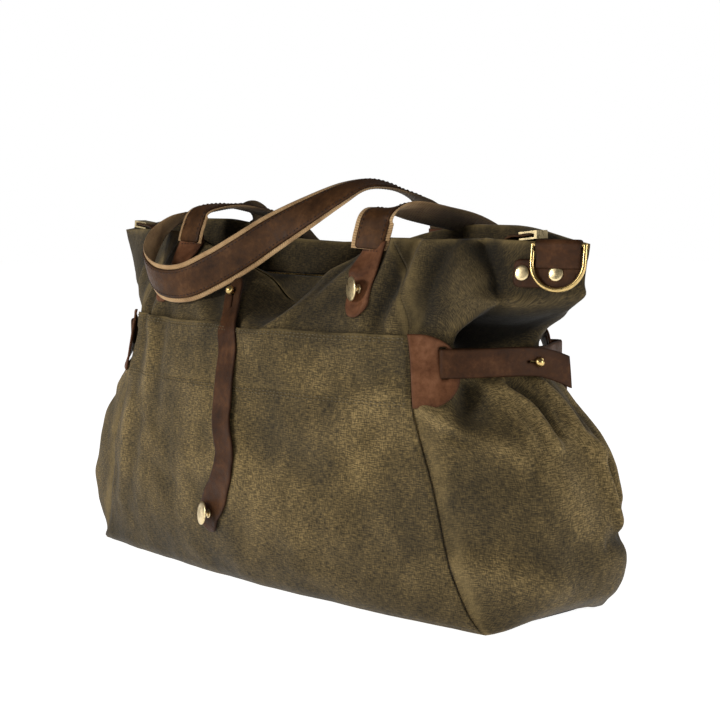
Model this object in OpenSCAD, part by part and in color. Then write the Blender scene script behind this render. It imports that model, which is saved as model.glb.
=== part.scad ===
// Soft holdall with a zipped mouth, cinched ends, two carrying handles and D-rings.
// Millimetres. X runs along the bag, the front is -Y, Z is up, the floor is Z = 0.

/* [Body] */
// Length of the base between its corner seams
base_len = 556; // [540:4:572]
// Depth of the base between its corner seams
base_depth = 168; // [160:2:174]
// Height of the wing tips at both ends
body_h = 328; // [324:1:332]
// Half width of the mouth between its hems
mouth_half = 40; // [38:1:42]
// How far the mouth leans to the front
mouth_lean = 26; // [24:1:28]
// Thickness of the canvas with its seam allowance
canvas_t = 2.4; // [2.2:0.1:2.6]
// Thickness of the lining
lining_t = 0.8; // [0.6:0.1:1]

/* [Front pocket] */
// Thickness of the pocket's cloth
pocket_t = 1.6; // [1.2:0.1:2]
// Room between the pocket and the panel behind it
pocket_room = 15; // [13:0.5:16]

/* [Zip] */
// Half length of the two movable rows of teeth
row_half = 194; // [190:1:196]
// Height of the zip in its recess
zip_z = 290; // [288:1:291]
// Distance between neighbouring teeth
tooth_pitch = 5; // [4:0.5:8]

/* [Handles] */
// Width of the webbing
web_w = 38; // [36:1:39]
// Thickness of the webbing
web_t = 2.6; // [2.2:0.2:2.8]
// Width of the leather sewn on the webbing
grip_w = 29; // [26:1:30]
// Thickness of the leather sewn on the webbing
grip_t = 1.8; // [1.4:0.1:2]
// Half distance between the two tabs of a handle
tab_x = 130; // [129:0.5:131]
// Width of a handle tab
tab_w = 36; // [34:1:38]

/* [Straps] */
// Width of the centre strap and the side straps
strap_w = 25; // [23:1:26]
// Thickness of the strap leather
strap_t = 2.6; // [2.2:0.1:2.8]
// How far the centre strap sits to the left of the middle
strap_left = 24; // [20:1:28]
// Height of the side straps
side_strap_z = 226; // [224:1:228]
// Height of the half-moon patches that hold the side straps
patch_h = 76; // [70:1:80]

/* [Metal] */
// Radius of the ball on a ball stud
ball_r = 4.2; // [3.8:0.1:4.4]
// Radius of a flat stud's head
head_r = 11; // [9:0.5:11.5]
// Radius of a stud's post
post_r = 2.5; // [2:0.1:2.8]
// Radius of the D-ring wire
ring_wire_r = 2; // [1.8:0.1:2.2]
// Inner width of a D-ring
ring_in_w = 42; // [41:0.5:44]
// Radius of a D-ring rivet's head
rivet_r = 6.5; // [5:0.5:7]

/* [Hidden] */
$fn = 40;
canvas_col = [0.33, 0.31, 0.20];
pocket_col = [0.36, 0.33, 0.22];
lining_col = [0.55, 0.50, 0.40];
board_col = [0.25, 0.22, 0.19];
leather_col = [0.27, 0.14, 0.11];
grip_col = [0.21, 0.12, 0.09];
web_col = [0.72, 0.58, 0.40];
brass_col = [0.75, 0.62, 0.36];
tape_col = [0.20, 0.19, 0.14];

half_len = base_len / 2;
half_dep = base_depth / 2;
hem_scale = body_h / 328;
gap = 0.4;
pin_clear = 0.06;

// Heights of the rings that carry the walls, as shares of the body height.
levels = [0.01, 0.04, 0.09, 0.15, 0.23, 0.32, 0.40, 0.48, 0.54, 0.60, 0.65, 0.69,
          0.72, 0.75, 0.79, 0.83, 0.87, 0.91, 0.955, 1];
lining_levels = [for (t = levels) if (t < 0.93) t];
pocket_levels = [for (t = levels) if (t > 0.02 && t < 0.76) t];
front_cols = [for (i = [0:24]) -1 + i / 12];
end_cols = [for (i = [0:16]) -1 + i / 8];
base_top = levels[0] * body_h;
board_t = 3;
board_in = canvas_t + lining_t + 4;

// Shape of the body by height, as shares of the half length or of the half depth.
seam_x_tab = [[0, 1], [0.06, 0.935], [0.19, 0.875], [0.35, 0.83], [0.55, 0.745], [0.75, 0.70],
              [0.87, 0.645], [1, 0.55]];
seam_yf_tab = [[0, 1], [0.19, 1.10], [0.35, 1.15], [0.55, 1.14], [0.75, 1.08], [0.87, 0.98],
               [1, (mouth_half + mouth_lean) / half_dep]];
seam_yb_tab = [[0, 1], [0.19, 1.09], [0.35, 1.12], [0.55, 1.04], [0.75, 0.80], [0.87, 0.52],
               [1, (mouth_half - mouth_lean) / half_dep]];
bulge_tab = [[0, 0.25], [0.1, 0.40], [0.24, 0.46], [0.45, 0.46], [0.6, 0.44], [0.75, 0.40],
             [0.85, 0.26], [0.95, 0.06], [1, 0]];
tip_x_tab = [[0, 1.01], [0.08, 1.10], [0.18, 1.135], [0.32, 1.13], [0.48, 1.08], [0.58, 1.0],
             [0.65, 0.925], [0.69, 0.92], [0.73, 0.925], [0.76, 0.97], [0.79, 1.03], [0.83, 1.09],
             [0.87, 1.125], [0.91, 1.15], [0.955, 1.17], [1, 1.18]];
// How square an end is in plan: 1 comes to a point, higher powers are flatter.
end_power_tab = [[0, 3], [0.12, 5], [0.35, 4.6], [0.5, 3], [0.6, 1.64], [0.69, 1.52], [0.8, 1.36],
                 [0.9, 1.19], [1, 1]];
tip_y_tab = [[0, 0], [0.6, 0], [1, -mouth_lean / half_dep / 2]];
room_tab = [[0.08, 0], [0.32, 1], [0.76, 1], [0.86, 0]];
hem_front_tab = [[0, 298], [70, 301], [112, 320], [150, 332], [230, 331], [328, 328]];
hem_back_tab = [[0, 322], [70, 324], [120, 334], [180, 342], [230, 342], [328, 328]];

function mix(a, b, f) = a + (b - a) * f;
function unit(v) = v / norm(v);
function seam_x(t) = half_len * lookup(t, seam_x_tab);
function seam_yf(t) = half_dep * lookup(t, seam_yf_tab);
function seam_yb(t) = half_dep * lookup(t, seam_yb_tab);
function bulge(t) = half_dep * lookup(t, bulge_tab);
function end_power(t) = lookup(t, end_power_tab);
function tip_x(t) = half_len * lookup(t, tip_x_tab);
function tip_y(t) = half_dep * lookup(t, tip_y_tab);
function hem_z(x, front) = hem_scale * lookup(abs(x), front ? hem_front_tab : hem_back_tab);
function wall_z(x, t, front) = t * body_h + (hem_z(x, front) - body_h) * pow(t, 6);
function room(u, t) = pocket_room * lookup(t, room_tab) * (1 - pow(u, 4));

// Points of the walls: u or v runs across a panel from -1 to 1, t up it, d inwards.
function front_y(u, t) = -(seam_yf(t) + bulge(t) * (1 - u * u));
function back_y(u, t) = seam_yb(t) + bulge(t) * (1 - u * u);
function front_pt(u, t, d, r = 1) =
    [u * (seam_x(t) - d), front_y(u, t) + d + r * room(u, t), wall_z(u * seam_x(t), t, true)];
function back_pt(u, t, d) =
    [u * (seam_x(t) - d), back_y(u, t) - d, wall_z(u * seam_x(t), t, false)];
function end_x(v, t, d) =
    mix(seam_x(t) - d, tip_x(t) - d * (1 + 2 * pow(t, 3)), 1 - pow(abs(v), end_power(t)));
function end_y(v, t, d) =
    v < 0 ? mix(tip_y(t), -(seam_yf(t) - d), -v) : mix(tip_y(t), seam_yb(t) - d, v);
function end_z(v, t) = wall_z(end_x(v, t, 0), t, v < 0);
function end_pt(side, v, t, d) = [side * end_x(v, t, d), end_y(v, t, d), end_z(v, t)];

function front_row(t, d, r = 1) = [for (u = front_cols) front_pt(u, t, d, r)];
function back_row(t, d) = [for (u = front_cols) back_pt(-u, t, d)];
function right_row(t, d) = [for (v = end_cols) end_pt(1, v, t, d)];
function left_row(t, d) = [for (v = end_cols) end_pt(-1, -v, t, d)];
function open_row(row) = [for (i = [0:len(row) - 2]) row[i]];
function ring(t, d) = concat(open_row(front_row(t, d)), open_row(right_row(t, d)),
                             open_row(back_row(t, d)), open_row(left_row(t, d)));
function flat(rows) = [for (row = rows) each row];
function plan(row) = [for (p = row) [p[0], p[1]]];

// Triangles of a sheet between two grids of the same size; round closes the columns.
function skin_faces(nr, nc, round) = [
    for (i = [0:nr - 2], j = [0:nc - (round ? 1 : 2)])
        let (a = i * nc + j, b = i * nc + (j + 1) % nc, c = a + nc, e = b + nc, n = nr * nc)
        each [[a, c, e], [a, e, b], [n + a, n + e, n + c], [n + a, n + b, n + e]]];
function edge_faces(nr, nc, round) = [
    for (j = [0:nc - (round ? 1 : 2)])
        let (b = (j + 1) % nc, top = (nr - 1) * nc, n = nr * nc)
        each [[j, b, n + b], [j, n + b, n + j],
              [top + b, top + j, n + top + j], [top + b, n + top + j, n + top + b]]];
function side_faces(nr, nc) = [
    for (i = [0:nr - 2])
        let (a = i * nc, c = a + nc, r = a + nc - 1, s = r + nc, n = nr * nc)
        each [[c, a, n + a], [c, n + a, n + c], [r, s, n + s], [r, n + s, n + r]]];

module sheet(outer, inner, round = false) {
    nr = len(outer);
    nc = len(outer[0]);
    skin = concat(skin_faces(nr, nc, round), edge_faces(nr, nc, round));
    polyhedron(concat(flat(outer), flat(inner)),
               round ? skin : concat(skin, side_faces(nr, nc)));
}

// Smooth path through control points, each [x, y, z, width direction x, y, z].
function spline(k, i, f) =
    let (n = len(k) - 1, a = k[max(i - 1, 0)], b = k[i], c = k[min(i + 1, n)], e = k[min(i + 2, n)])
    0.5 * (2 * b + (c - a) * f + (2 * a - 5 * b + 4 * c - e) * f * f
           + (3 * b - a - 3 * c + e) * f * f * f);
function path_points(k, steps) =
    concat([for (i = [0:len(k) - 2], s = [0:steps - 1]) spline(k, i, s / steps)],
           [k[len(k) - 1]]);
function pos(p) = [p[0], p[1], p[2]];
function dir(p) = [p[3], p[4], p[5]];

// A flat band along a path: half width, and its faces at lo and hi along the normal.
function band_row(path, i, half_w, off) =
    let (n = len(path) - 1,
         along = unit(pos(path[min(i + 1, n)]) - pos(path[max(i - 1, 0)])),
         raw = dir(path[i]),
         across = unit(raw - along * (raw * along)),
         out = cross(along, across),
         c = pos(path[i]) + out * off)
    [c - across * half_w, c, c + across * half_w];

module band(keys, half_w, lo, hi, steps = 4) {
    path = path_points(keys, steps);
    sheet([for (i = [0:len(path) - 1]) band_row(path, i, half_w, lo)],
          [for (i = [0:len(path) - 1]) band_row(path, i, half_w, hi)]);
}

// ---------- Shell ----------

module front_panel() {
    color(canvas_col)
    sheet([for (t = levels) front_row(t, 0)], [for (t = levels) front_row(t, canvas_t)]);
}

module back_panel() {
    color(canvas_col)
    sheet([for (t = levels) back_row(t, 0)], [for (t = levels) back_row(t, canvas_t)]);
}

module right_gusset() {
    color(canvas_col)
    sheet([for (t = levels) right_row(t, 0)], [for (t = levels) right_row(t, canvas_t)]);
}

module left_gusset() {
    color(canvas_col)
    sheet([for (t = levels) left_row(t, 0)], [for (t = levels) left_row(t, canvas_t)]);
}

module base_panel() {
    color(canvas_col)
    linear_extrude(base_top)
    polygon(plan(ring(levels[0], 0)));
}

module base_board() {
    color(board_col)
    translate([0, 0, base_top])
    linear_extrude(board_t)
    polygon(plan(ring(levels[0], board_in)));
}

module lining_floor() {
    color(lining_col)
    translate([0, 0, base_top + board_t])
    linear_extrude(lining_t)
    polygon(plan(ring(levels[0], board_in)));
}

module lining() {
    color(lining_col)
    sheet([for (t = lining_levels) ring(t, canvas_t)],
          [for (t = lining_levels) ring(t, canvas_t + lining_t)], true);
}

module front_pocket() {
    shift = [0, -pocket_t, 0];
    color(pocket_col)
    sheet([for (t = pocket_levels) [for (p = front_row(t, 0, 0)) p + shift]],
          [for (t = pocket_levels) front_row(t, 0, 0)]);
}

// ---------- Mouth and zip ----------

crease_half = 22;
mouth_y = -mouth_lean;
facing_t = 2;
tape_t = 1.2;
tape_root = crease_half - 1.5;
tape_tip = 4.9;
tooth_in = 0.7;
tooth_out = 4.6;
tooth_half_h = 1.3;
facing_rim = 0.5;
facing_x = [-238, -226, -214, -204, -175, -145, -115, -85, -55, -25,
            0, 25, 55, 85, 115, 145, 175, 204, 214, 226, 238];
ramp_tab = [[212, 0], [256, 1]];

// The hem's inner edge, which leaves the straight hem at the seam and runs to the wing tip.
function hem_in_y(x, front) =
    let (in = canvas_t + 0.6, x0 = seam_x(1) - in, x1 = tip_x(1) - 3 * in,
         y0 = front ? -(seam_yf(1) - in) : seam_yb(1) - in)
    abs(x) < x0 ? y0 : mix(y0, tip_y(1), (abs(x) - x0) / (x1 - x0));
function crease_y(x, front) =
    let (half = abs(x) < 208 ? crease_half + 1 : crease_half - 9)
    front ? max(mouth_y - half, hem_in_y(x, front) + facing_rim)
          : min(mouth_y + half, hem_in_y(x, front) - facing_rim);
function crease_z(x) = mix(zip_z + facing_t / 2, 326 * hem_scale, lookup(abs(x), ramp_tab));
function facing_row(s, front) = [
    for (i = facing_x)
        let (x = front ? i : -i)
        [x, mix(hem_in_y(x, front), crease_y(x, front), s),
         mix(hem_z(x, front) - 1.5, crease_z(x), s)]];
function lowered(row) = [for (p = row) p - [0, 0, facing_t]];

module facing(front) {
    rows = [for (s = [0, 0.5, 1]) facing_row(s, front)];
    sheet(rows, [for (row = rows) lowered(row)]);
}

module front_facing() {
    color(canvas_col)
    facing(true);
}

module back_facing() {
    color(canvas_col)
    facing(false);
}

module zip_tape() {
    translate([-row_half, tape_tip, -tape_t / 2])
    cube([2 * row_half, tape_root - tape_tip, tape_t]);
}

module zip_teeth() {
    tooth_w = 2.4;
    bead_w = 1.5;
    count = floor(2 * row_half / tooth_pitch);
    translate([-row_half, tape_tip - bead_w, -1])
    cube([2 * row_half, bead_w, 2]);
    for (i = [0:count - 1])
        translate([-row_half + (i + 0.5) * tooth_pitch - tooth_w / 2, tooth_in, -tooth_half_h])
        cube([tooth_w, tooth_out - tooth_in, 2 * tooth_half_h]);
}

module at_zip(front) {
    translate([0, mouth_y, zip_z])
    mirror([0, front ? 1 : 0, 0])
    children();
}

module front_zip_tape() {
    color(tape_col)
    at_zip(true) zip_tape();
}

module back_zip_tape() {
    color(tape_col)
    at_zip(false) zip_tape();
}

module front_zip_teeth() {
    color(brass_col)
    at_zip(true) zip_teeth();
}

module back_zip_teeth() {
    color(brass_col)
    at_zip(false) zip_teeth();
}

// The slider is stored at the left end of the rows.
slider_half = 7;
slider_x = -row_half - slider_half - 1;
slider_w = 6.5;
plate_in = tooth_half_h + 0.4;
plate_t = 1.2;
lug_top = plate_in + plate_t + 4.4;
pull_z = plate_in + plate_t + 2.2;
pull_pin_r = 1.1;

module zip_slider() {
    color(brass_col)
    translate([slider_x, mouth_y, zip_z]) {
        for (s = [-1, 1])
            translate([-slider_half, -slider_w, s > 0 ? plate_in : -plate_in - plate_t])
            cube([2 * slider_half, 2 * slider_w, plate_t]);
        for (s = [-1, 1], m = [-1, 1])
            translate([-slider_half, s > 0 ? 5.2 : -slider_w, m > 0 ? 0.9 : -plate_in])
            cube([2 * slider_half, slider_w - 5.2, plate_in - 0.9]);
        translate([-2.5, -0.5, -plate_in])
        cube([5, 1, 2 * plate_in]);
        difference() {
            for (s = [-1, 1])
                translate([-2.4, s > 0 ? 2.6 : -4.4, plate_in + plate_t])
                cube([4.8, 1.8, lug_top - plate_in - plate_t]);
            translate([0, 6, pull_z])
            rotate([90, 0, 0])
            cylinder(h = 12, r = pull_pin_r + pin_clear);
        }
    }
}

module zip_pull() {
    color(brass_col)
    translate([slider_x, mouth_y, zip_z + pull_z]) {
        translate([0, 4.9, 0])
        rotate([90, 0, 0])
        cylinder(h = 9.8, r = pull_pin_r);
        difference() {
            translate([0, 0, -0.8])
            linear_extrude(1.6)
            hull() {
                translate([0, -2.2]) square([10, 4.4]);
                translate([24, 0]) circle(4.5);
            }
            translate([23, 0, -2])
            cylinder(h = 4, r = 2);
        }
    }
}

// Ends of the zip: a tape that rises out of the recess, closed by a leather tail and a clip.
tail_w = 20;
tail_path = [[219, 290], [222, 290], [254, 330.5], [288, 334.5], [288, 336.5], [253, 332.5], [219, 292]];
tail_end = 281.5;
clip_x = 275;
clip_z = 334;

module zip_tail() {
    translate([0, mouth_y + tail_w / 2 + 2, 0])
    rotate([90, 0, 0])
    linear_extrude(tail_w)
    polygon(tail_path);
}

module zip_clip() {
    translate([clip_x, mouth_y + 2, clip_z])
    rotate([0, -6, 0])
    difference() {
        translate([-9, -7, -3])
        cube([20, 14, 7]);
        translate([-10, -10.2, -1.4])
        cube([18, 20.4, 2.8]);
    }
}

module right_zip_tail() {
    color(grip_col)
    difference() {
        zip_tail();
        translate([tail_end, mouth_y - 20, 320])
        cube([20, 40, 30]);
    }
}

module left_zip_tail() {
    color(grip_col)
    mirror([1, 0, 0])
    difference() {
        zip_tail();
        translate([tail_end, mouth_y - 20, 320])
        cube([20, 40, 30]);
    }
}

module right_zip_clip() {
    color(brass_col)
    zip_clip();
}

module left_zip_clip() {
    color(brass_col)
    mirror([1, 0, 0])
    zip_clip();
}

// ---------- Handles ----------

tab_t = 2.6;
tab_rows = [0, 0.03, 0.08, 0.15, 0.22, 0.3, 0.45, 0.6, 0.75, 0.9, 1];
tab_low = 0.80;

// A tab follows its panel from its rounded lower end up to the hem.
function tab_half(s) = tab_w / 2 * sqrt(1 - pow(1 - min(1, s / 0.3), 2)) + 0.5;
function wall_y(x, t, front) =
    let (u = min(1, abs(x) / seam_x(t)))
    front ? front_y(u, t) + room(u, t) : back_y(u, t);
function tab_z(x, s, front) =
    let (top = hem_z(tab_x, front))
    s == 1 ? top : min(wall_z(x, mix(tab_low, 1, s), front), top - 2);
function tab_pt(x, s, off, front) =
    [x, wall_y(x, mix(tab_low, 1, s), front) + (front ? -off : off), tab_z(x, s, front)];
function tab_row(s, off, cx, front) = [
    for (i = [-1, -0.5, 0, 0.5, 1])
        tab_pt(cx + (front ? 1 : -1) * i * tab_half(s), s, off, front)];

module handle_tab(cx, front) {
    sheet([for (s = tab_rows) tab_row(s, tab_t, cx, front)],
          [for (s = tab_rows) tab_row(s, 0, cx, front)]);
}

module front_left_tab() {
    color(leather_col)
    handle_tab(-tab_x, true);
}

module front_right_tab() {
    color(leather_col)
    handle_tab(tab_x, true);
}

module back_left_tab() {
    color(leather_col)
    handle_tab(-tab_x, false);
}

module back_right_tab() {
    color(leather_col)
    handle_tab(tab_x, false);
}

// The front handle stands on two short ends and is folded back over the mouth.
fold_z = 360;
front_root_y = -(seam_yf(1) + 9);
front_root_z = hem_z(tab_x, true) - 5;
back_root_y = seam_yb(1) + 4.4;
back_root_z = hem_z(tab_x, false) + 3.4;
front_root_right = [[tab_x, front_root_y, front_root_z, -1, 0, 0],
                    [tab_x + 1, -70, 338, -1, 0, 0],
                    [tab_x + 4, -62, fold_z - 4, -1, 0, 0]];
front_root_left = [[-tab_x + 3, -62, fold_z - 4, 1, 0, 0],
                   [-tab_x + 1, -70, 338, 1, 0, 0],
                   [-tab_x, front_root_y, front_root_z, 1, 0, 0]];
front_loop = [[134, -59, 360, -1, 0, 0], [135, -49, 359.5, -1, 0, 0],
              [145, -33, 358, -1, 0, 0], [162, -10, 353, -1, 0, 0],
              [176, 13, 350, -1, 0, 0], [182, 34, 337, -1, 0.1, 0], [177, 54, 315, -0.9, -0.3, 0.3],
              [155, 71, 297, -0.6, -0.55, 0.55], [115, 78, 289, -0.1, -0.7, 0.7],
              [60, 81, 286, 0, -0.7, 0.7], [0, 81, 286, 0, -0.7, 0.7],
              [-45, 77, 290, 0.4, -0.6, 0.6], [-76, 62, 302, 0.8, -0.4, 0.4],
              [-87, 44, 318, 0.97, -0.15, 0.15], [-88, 27, 333, 1, 0, 0], [-87, 12, 340, 1, 0, 0],
              [-96, -14, 350, 1, 0, 0], [-113, -35, 357, 1, 0, 0], [-126, -49, 359.5, 1, 0, 0],
              [-127, -59, 360, 1, 0, 0]];

// The back handle hangs forward over the front hem.
back_loop = [[tab_x, back_root_y, back_root_z, 1, 0, 0], [tab_x, 15, 346, 1, 0, 0],
             [122, 4, 354, 0.97, -0.2, 0.1], [112, -7, 364, 0.85, -0.5, 0],
             [96, -18, 374, 0.7, -0.7, -0.1], [78, -30, 379, 0.6, -0.7, -0.35],
             [58, -44, 372, 0.5, -0.4, -0.75], [31, -60, 357, 0.43, -0.05, -0.9],
             [0, -77, 337, 0.41, 0.25, -0.88], [-24, -93, 319, 0.41, 0.32, -0.85],
             [-50, -106, 302, 0.41, 0.32, -0.85], [-82, -118, 288, 0.25, 0.3, -0.9],
             [-120, -122, 289, 0, 0.3, -0.95], [-155, -114, 302, -0.2, 0.4, -0.9],
             [-178, -92, 324, -0.45, 0.5, -0.7], [-184, -66, 345, -0.7, 0.5, -0.4],
             [-178, -38, 352, -0.85, 0.4, -0.2], [-164, -13, 355, -0.93, 0.3, -0.1],
             [-146, 5, 354, -1, 0.15, 0], [-133, 14, 347, -1, 0, 0],
             [-tab_x, back_root_y, back_root_z, -1, 0, 0]];

module webbing(keys) {
    band(keys, web_w / 2, -web_t / 2, web_t / 2);
}

module grip(keys) {
    band(keys, grip_w / 2, web_t / 2, web_t / 2 + grip_t);
}

module front_handle_ends() {
    color(web_col) {
        webbing(front_root_right);
        webbing(front_root_left);
    }
}

module front_handle_end_leathers() {
    color(grip_col) {
        grip(front_root_right);
        grip(front_root_left);
    }
}

module front_handle_webbing() {
    color(web_col)
    webbing(front_loop);
}

module front_handle_leather() {
    color(grip_col)
    grip(front_loop);
}

module back_handle_webbing() {
    color(web_col)
    webbing(back_loop);
}

module back_handle_leather() {
    color(grip_col)
    grip(back_loop);
}

// ---------- Studs ----------

// A flat stud on its leather: a round foot, a post and a head that stands clear.
module flat_stud(stand, root) {
    rotate([90, 0, 0]) {
        translate([0, 0, -root])
        cylinder(h = stand + root + 0.5, r = post_r);
        cylinder(h = 0.8, r = post_r + 1.8);
        translate([0, 0, stand])
        cylinder(h = 1.6, r = head_r);
    }
}

tab_stud_t = 0.87;

module tab_stud(cx, front) {
    out = wall_y(cx, tab_stud_t, front) + (front ? -1 : 1) * (tab_t + 1);
    translate([cx, out, wall_z(cx, tab_stud_t, front)])
    rotate([0, 0, front ? 0 : 180])
    flat_stud(4, 4);
}

module front_tab_studs() {
    color(brass_col)
    for (s = [-1, 1]) tab_stud(s * tab_x, true);
}

module back_tab_studs() {
    color(brass_col)
    for (s = [-1, 1]) tab_stud(s * tab_x, false);
}

// ---------- Centre strap ----------

strap_gap = 0.6;
strap_low = 54;
strap_split = 90;
strap_high = 292;
strap_ball_z = 280;
strap_stud_z = 72;

function strap_y(z) =
    let (t = z / body_h)
    front_y(0, min(t, 0.75)) - pocket_t - strap_gap + (t > 0.75 ? 26 * (t - 0.75) / 0.14 : 0);
function strap_edge(zs, off) = [for (z = zs) [strap_y(z) - off, z]];
function reversed(list) = [for (i = [len(list) - 1:-1:0]) list[i]];

module strap_plate(zs, tip_low, tip_high) {
    lo = zs[0];
    hi = zs[len(zs) - 1];
    r = strap_w / 2;
    intersection() {
        translate([-r, 0, 0])
        rotate([90, 0, 90])
        linear_extrude(strap_w)
        polygon(concat(strap_edge(zs, 0), reversed(strap_edge(zs, strap_t))));
        translate([0, -60, 0])
        rotate([90, 0, 0])
        linear_extrude(120)
        union() {
            translate([-r, lo + (tip_low ? r : -1)])
            square([strap_w, hi - lo - (tip_low ? r : -1) - (tip_high ? r : -1)]);
            if (tip_low) translate([0, lo + r]) circle(r);
            if (tip_high) translate([0, hi - r]) circle(r);
        }
    }
}

module at_centre_strap() {
    translate([-strap_left, 0, 0])
    children();
}

module centre_strap_end() {
    color(leather_col)
    at_centre_strap()
    strap_plate([strap_low, 72, strap_split - gap], true, false);
}

module centre_strap() {
    hole_z = strap_ball_z;
    color(leather_col)
    at_centre_strap()
    difference() {
        strap_plate([strap_split + gap, 120, 150, 185, 215, 246, 262, strap_high], false, true);
        translate([0, -80, hole_z])
        rotate([90, 0, 0])
        cylinder(h = 60, r = ball_r + 0.4);
        translate([-0.6, -140, hole_z - 12])
        cube([1.2, 60, 12]);
    }
}

module centre_flat_stud() {
    color(brass_col)
    at_centre_strap()
    translate([0, strap_y(strap_stud_z) - strap_t - 0.1, strap_stud_z])
    flat_stud(6, 4);
}

module centre_ball_stud() {
    t = (strap_ball_z + 12) / body_h;
    y0 = front_y(0, t) + room(0, t) - 0.3;
    y1 = strap_y(strap_ball_z) - strap_t;
    color(brass_col)
    at_centre_strap()
    translate([0, 0, strap_ball_z])
    rotate([90, 0, 0]) {
        translate([0, 0, -y0 - 0.3])
        cylinder(h = y0 - y1 + 1.3, r = post_r);
        translate([0, 0, -y0 + 2.2])
        cylinder(h = 1.2, r = 4.5);
        translate([0, 0, -y1 + 1])
        sphere(ball_r);
    }
}

// ---------- Side straps ----------

strap_share = side_strap_z / body_h;
patch_t = 2.4;
patch_reach = 40;
slot_at = 24;
slot_w = 5;
seam_gap = 1;
turn_f = 44;
turn_b = 42;
front_seam = [seam_x(strap_share), -seam_yf(strap_share)];
back_seam = [seam_x(strap_share), seam_yb(strap_share)];

// A point beside a seam: s along the panel from the seam, h outwards from it.
function by_front(s, h) =
    front_seam + s * [cos(turn_f), sin(turn_f)] + h * [sin(turn_f), -cos(turn_f)];
function by_back(s, h) =
    back_seam + s * [cos(turn_b), -sin(turn_b)] + h * [sin(turn_b), cos(turn_b)];

// Outline of a strip of leather that runs along a line of points.
function strip_normal(pts, i) =
    let (n = len(pts) - 1, d = unit(pts[min(i + 1, n)] - pts[max(i - 1, 0)]))
    [d[1], -d[0]];
function strip_side(pts, off) = [for (i = [0:len(pts) - 1]) pts[i] + off * strip_normal(pts, i)];

module strip(pts, z, w, t) {
    translate([0, 0, z - w / 2])
    linear_extrude(w)
    polygon(concat(strip_side(pts, -t / 2), reversed(strip_side(pts, t / 2))));
}

module on_side(side) {
    mirror([side > 0 ? 0 : 1, 0, 0])
    children();
}

// Half-moon patch: its straight edge lies along the seam and the strap runs through its slot.
module moon() {
    r = patch_h / 2;
    difference() {
        intersection() {
            circle(r + 2);
            translate([seam_gap, -r])
            square([patch_reach - seam_gap, 2 * r]);
        }
        translate([slot_at, -strap_w / 2 - 1])
        square([slot_w, strap_w + 2]);
    }
}

module patch(seam, turn, tilt, out) {
    translate([seam[0], seam[1], side_strap_z])
    rotate([0, 0, turn])
    translate([0, -out, 0])
    rotate([90 - tilt, 0, 0])
    linear_extrude(patch_t)
    moon();
}

module front_patch() {
    patch(front_seam, turn_f, 8, 5.2);
}

module back_patch() {
    mirror([0, 1, 0])
    patch([back_seam[0], -back_seam[1]], turn_b, 14, 6.5);
}

module right_front_patch() {
    color(leather_col)
    front_patch();
}

module right_back_patch() {
    color(leather_col)
    back_patch();
}

module left_front_patch() {
    color(leather_col)
    on_side(-1) front_patch();
}

module left_back_patch() {
    color(leather_col)
    on_side(-1) back_patch();
}

// The strap comes out through the front slot, runs round the end and over the back patch.
slot_mid = slot_at + slot_w / 2;
under_path = [by_front(slot_mid, 8.6), by_front(slot_mid + 0.2, 5), by_front(slot_mid + 1.5, 2.6),
              by_front(slot_mid + 6, 1.8), [242.5, -49.5], [255.5, -26.5], [262.8, -3], [258, 18],
              [247, 37.5], by_back(36, 15.5), by_back(slot_mid + 4, 15),
              by_back(slot_mid + 0.5, 12), by_back(slot_mid, 5)];
over_path = [by_front(slot_mid - 2, 10.6), by_front(40, 10.8), [247, -54.5], [260.5, -31],
             [269.5, -8], [277, 10], [285, 30]];
side_stud_at = [269.5, -8];
side_stud_turn = 68;

module at_side_stud(x) {
    translate([side_stud_at[0], side_stud_at[1], side_strap_z])
    rotate([0, 0, side_stud_turn])
    rotate([90, 0, 0])
    translate([0, 0, x])
    children();
}

module side_strap_under() {
    strip(under_path, side_strap_z, strap_w, strap_t);
}

module side_strap_over() {
    difference() {
        strip(over_path, side_strap_z, strap_w, strap_t);
        at_side_stud(-10)
        cylinder(h = 20, r = ball_r + 0.4);
        at_side_stud(-10)
        translate([-12, -0.6, 0])
        cube([12, 1.2, 20]);
    }
}

module side_ball_stud() {
    at_side_stud(-6.5)
    cylinder(h = 8, r = post_r);
    at_side_stud(-4.4)
    cylinder(h = 1, r = 5);
    at_side_stud(2.6)
    sphere(ball_r);
}

module right_side_strap() {
    color(leather_col)
    side_strap_under();
}

module left_side_strap() {
    color(leather_col)
    on_side(-1) side_strap_under();
}

module right_side_strap_end() {
    color(leather_col)
    side_strap_over();
}

module left_side_strap_end() {
    color(leather_col)
    on_side(-1) side_strap_over();
}

module right_side_stud() {
    color(brass_col)
    side_ball_stud();
}

module left_side_stud() {
    color(brass_col)
    on_side(-1) side_ball_stud();
}

// ---------- D-rings ----------

ring_z = 327.5;
ring_tilt = 10;
ring_leg = 15;
ring_r = ring_in_w / 2 + ring_wire_r;
loop_t = 2.2;
loop_w = ring_in_w - 2;
loop_r = ring_wire_r + pin_clear;
base_w = 56;
base_h = 24;
base_x = -12;
base_z = -24;
plate_y = ring_wire_r + 0.3;
rivet_x = [-32, -2];

module at_ring(right) {
    translate(right ? [306.5, -26.4, ring_z] : [-306.1, 3, ring_z])
    rotate([0, 0, right ? 20 : 193])
    rotate([-ring_tilt, 0, 0])
    children();
}

module d_ring() {
    rotate([0, 90, 0])
    translate([0, 0, -ring_r])
    cylinder(h = 2 * ring_r, r = ring_wire_r);
    for (s = [-1, 1])
        translate([s * ring_r, 0, -ring_leg])
        cylinder(h = ring_leg, r = ring_wire_r);
    for (s = [-1, 1])
        translate([s * ring_r, 0, 0])
        sphere(ring_wire_r);
    translate([0, 0, -ring_leg])
    rotate([90, 0, 0])
    rotate([0, 0, 180])
    rotate_extrude(angle = 180)
    translate([ring_r, 0])
    circle(ring_wire_r);
}

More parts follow.
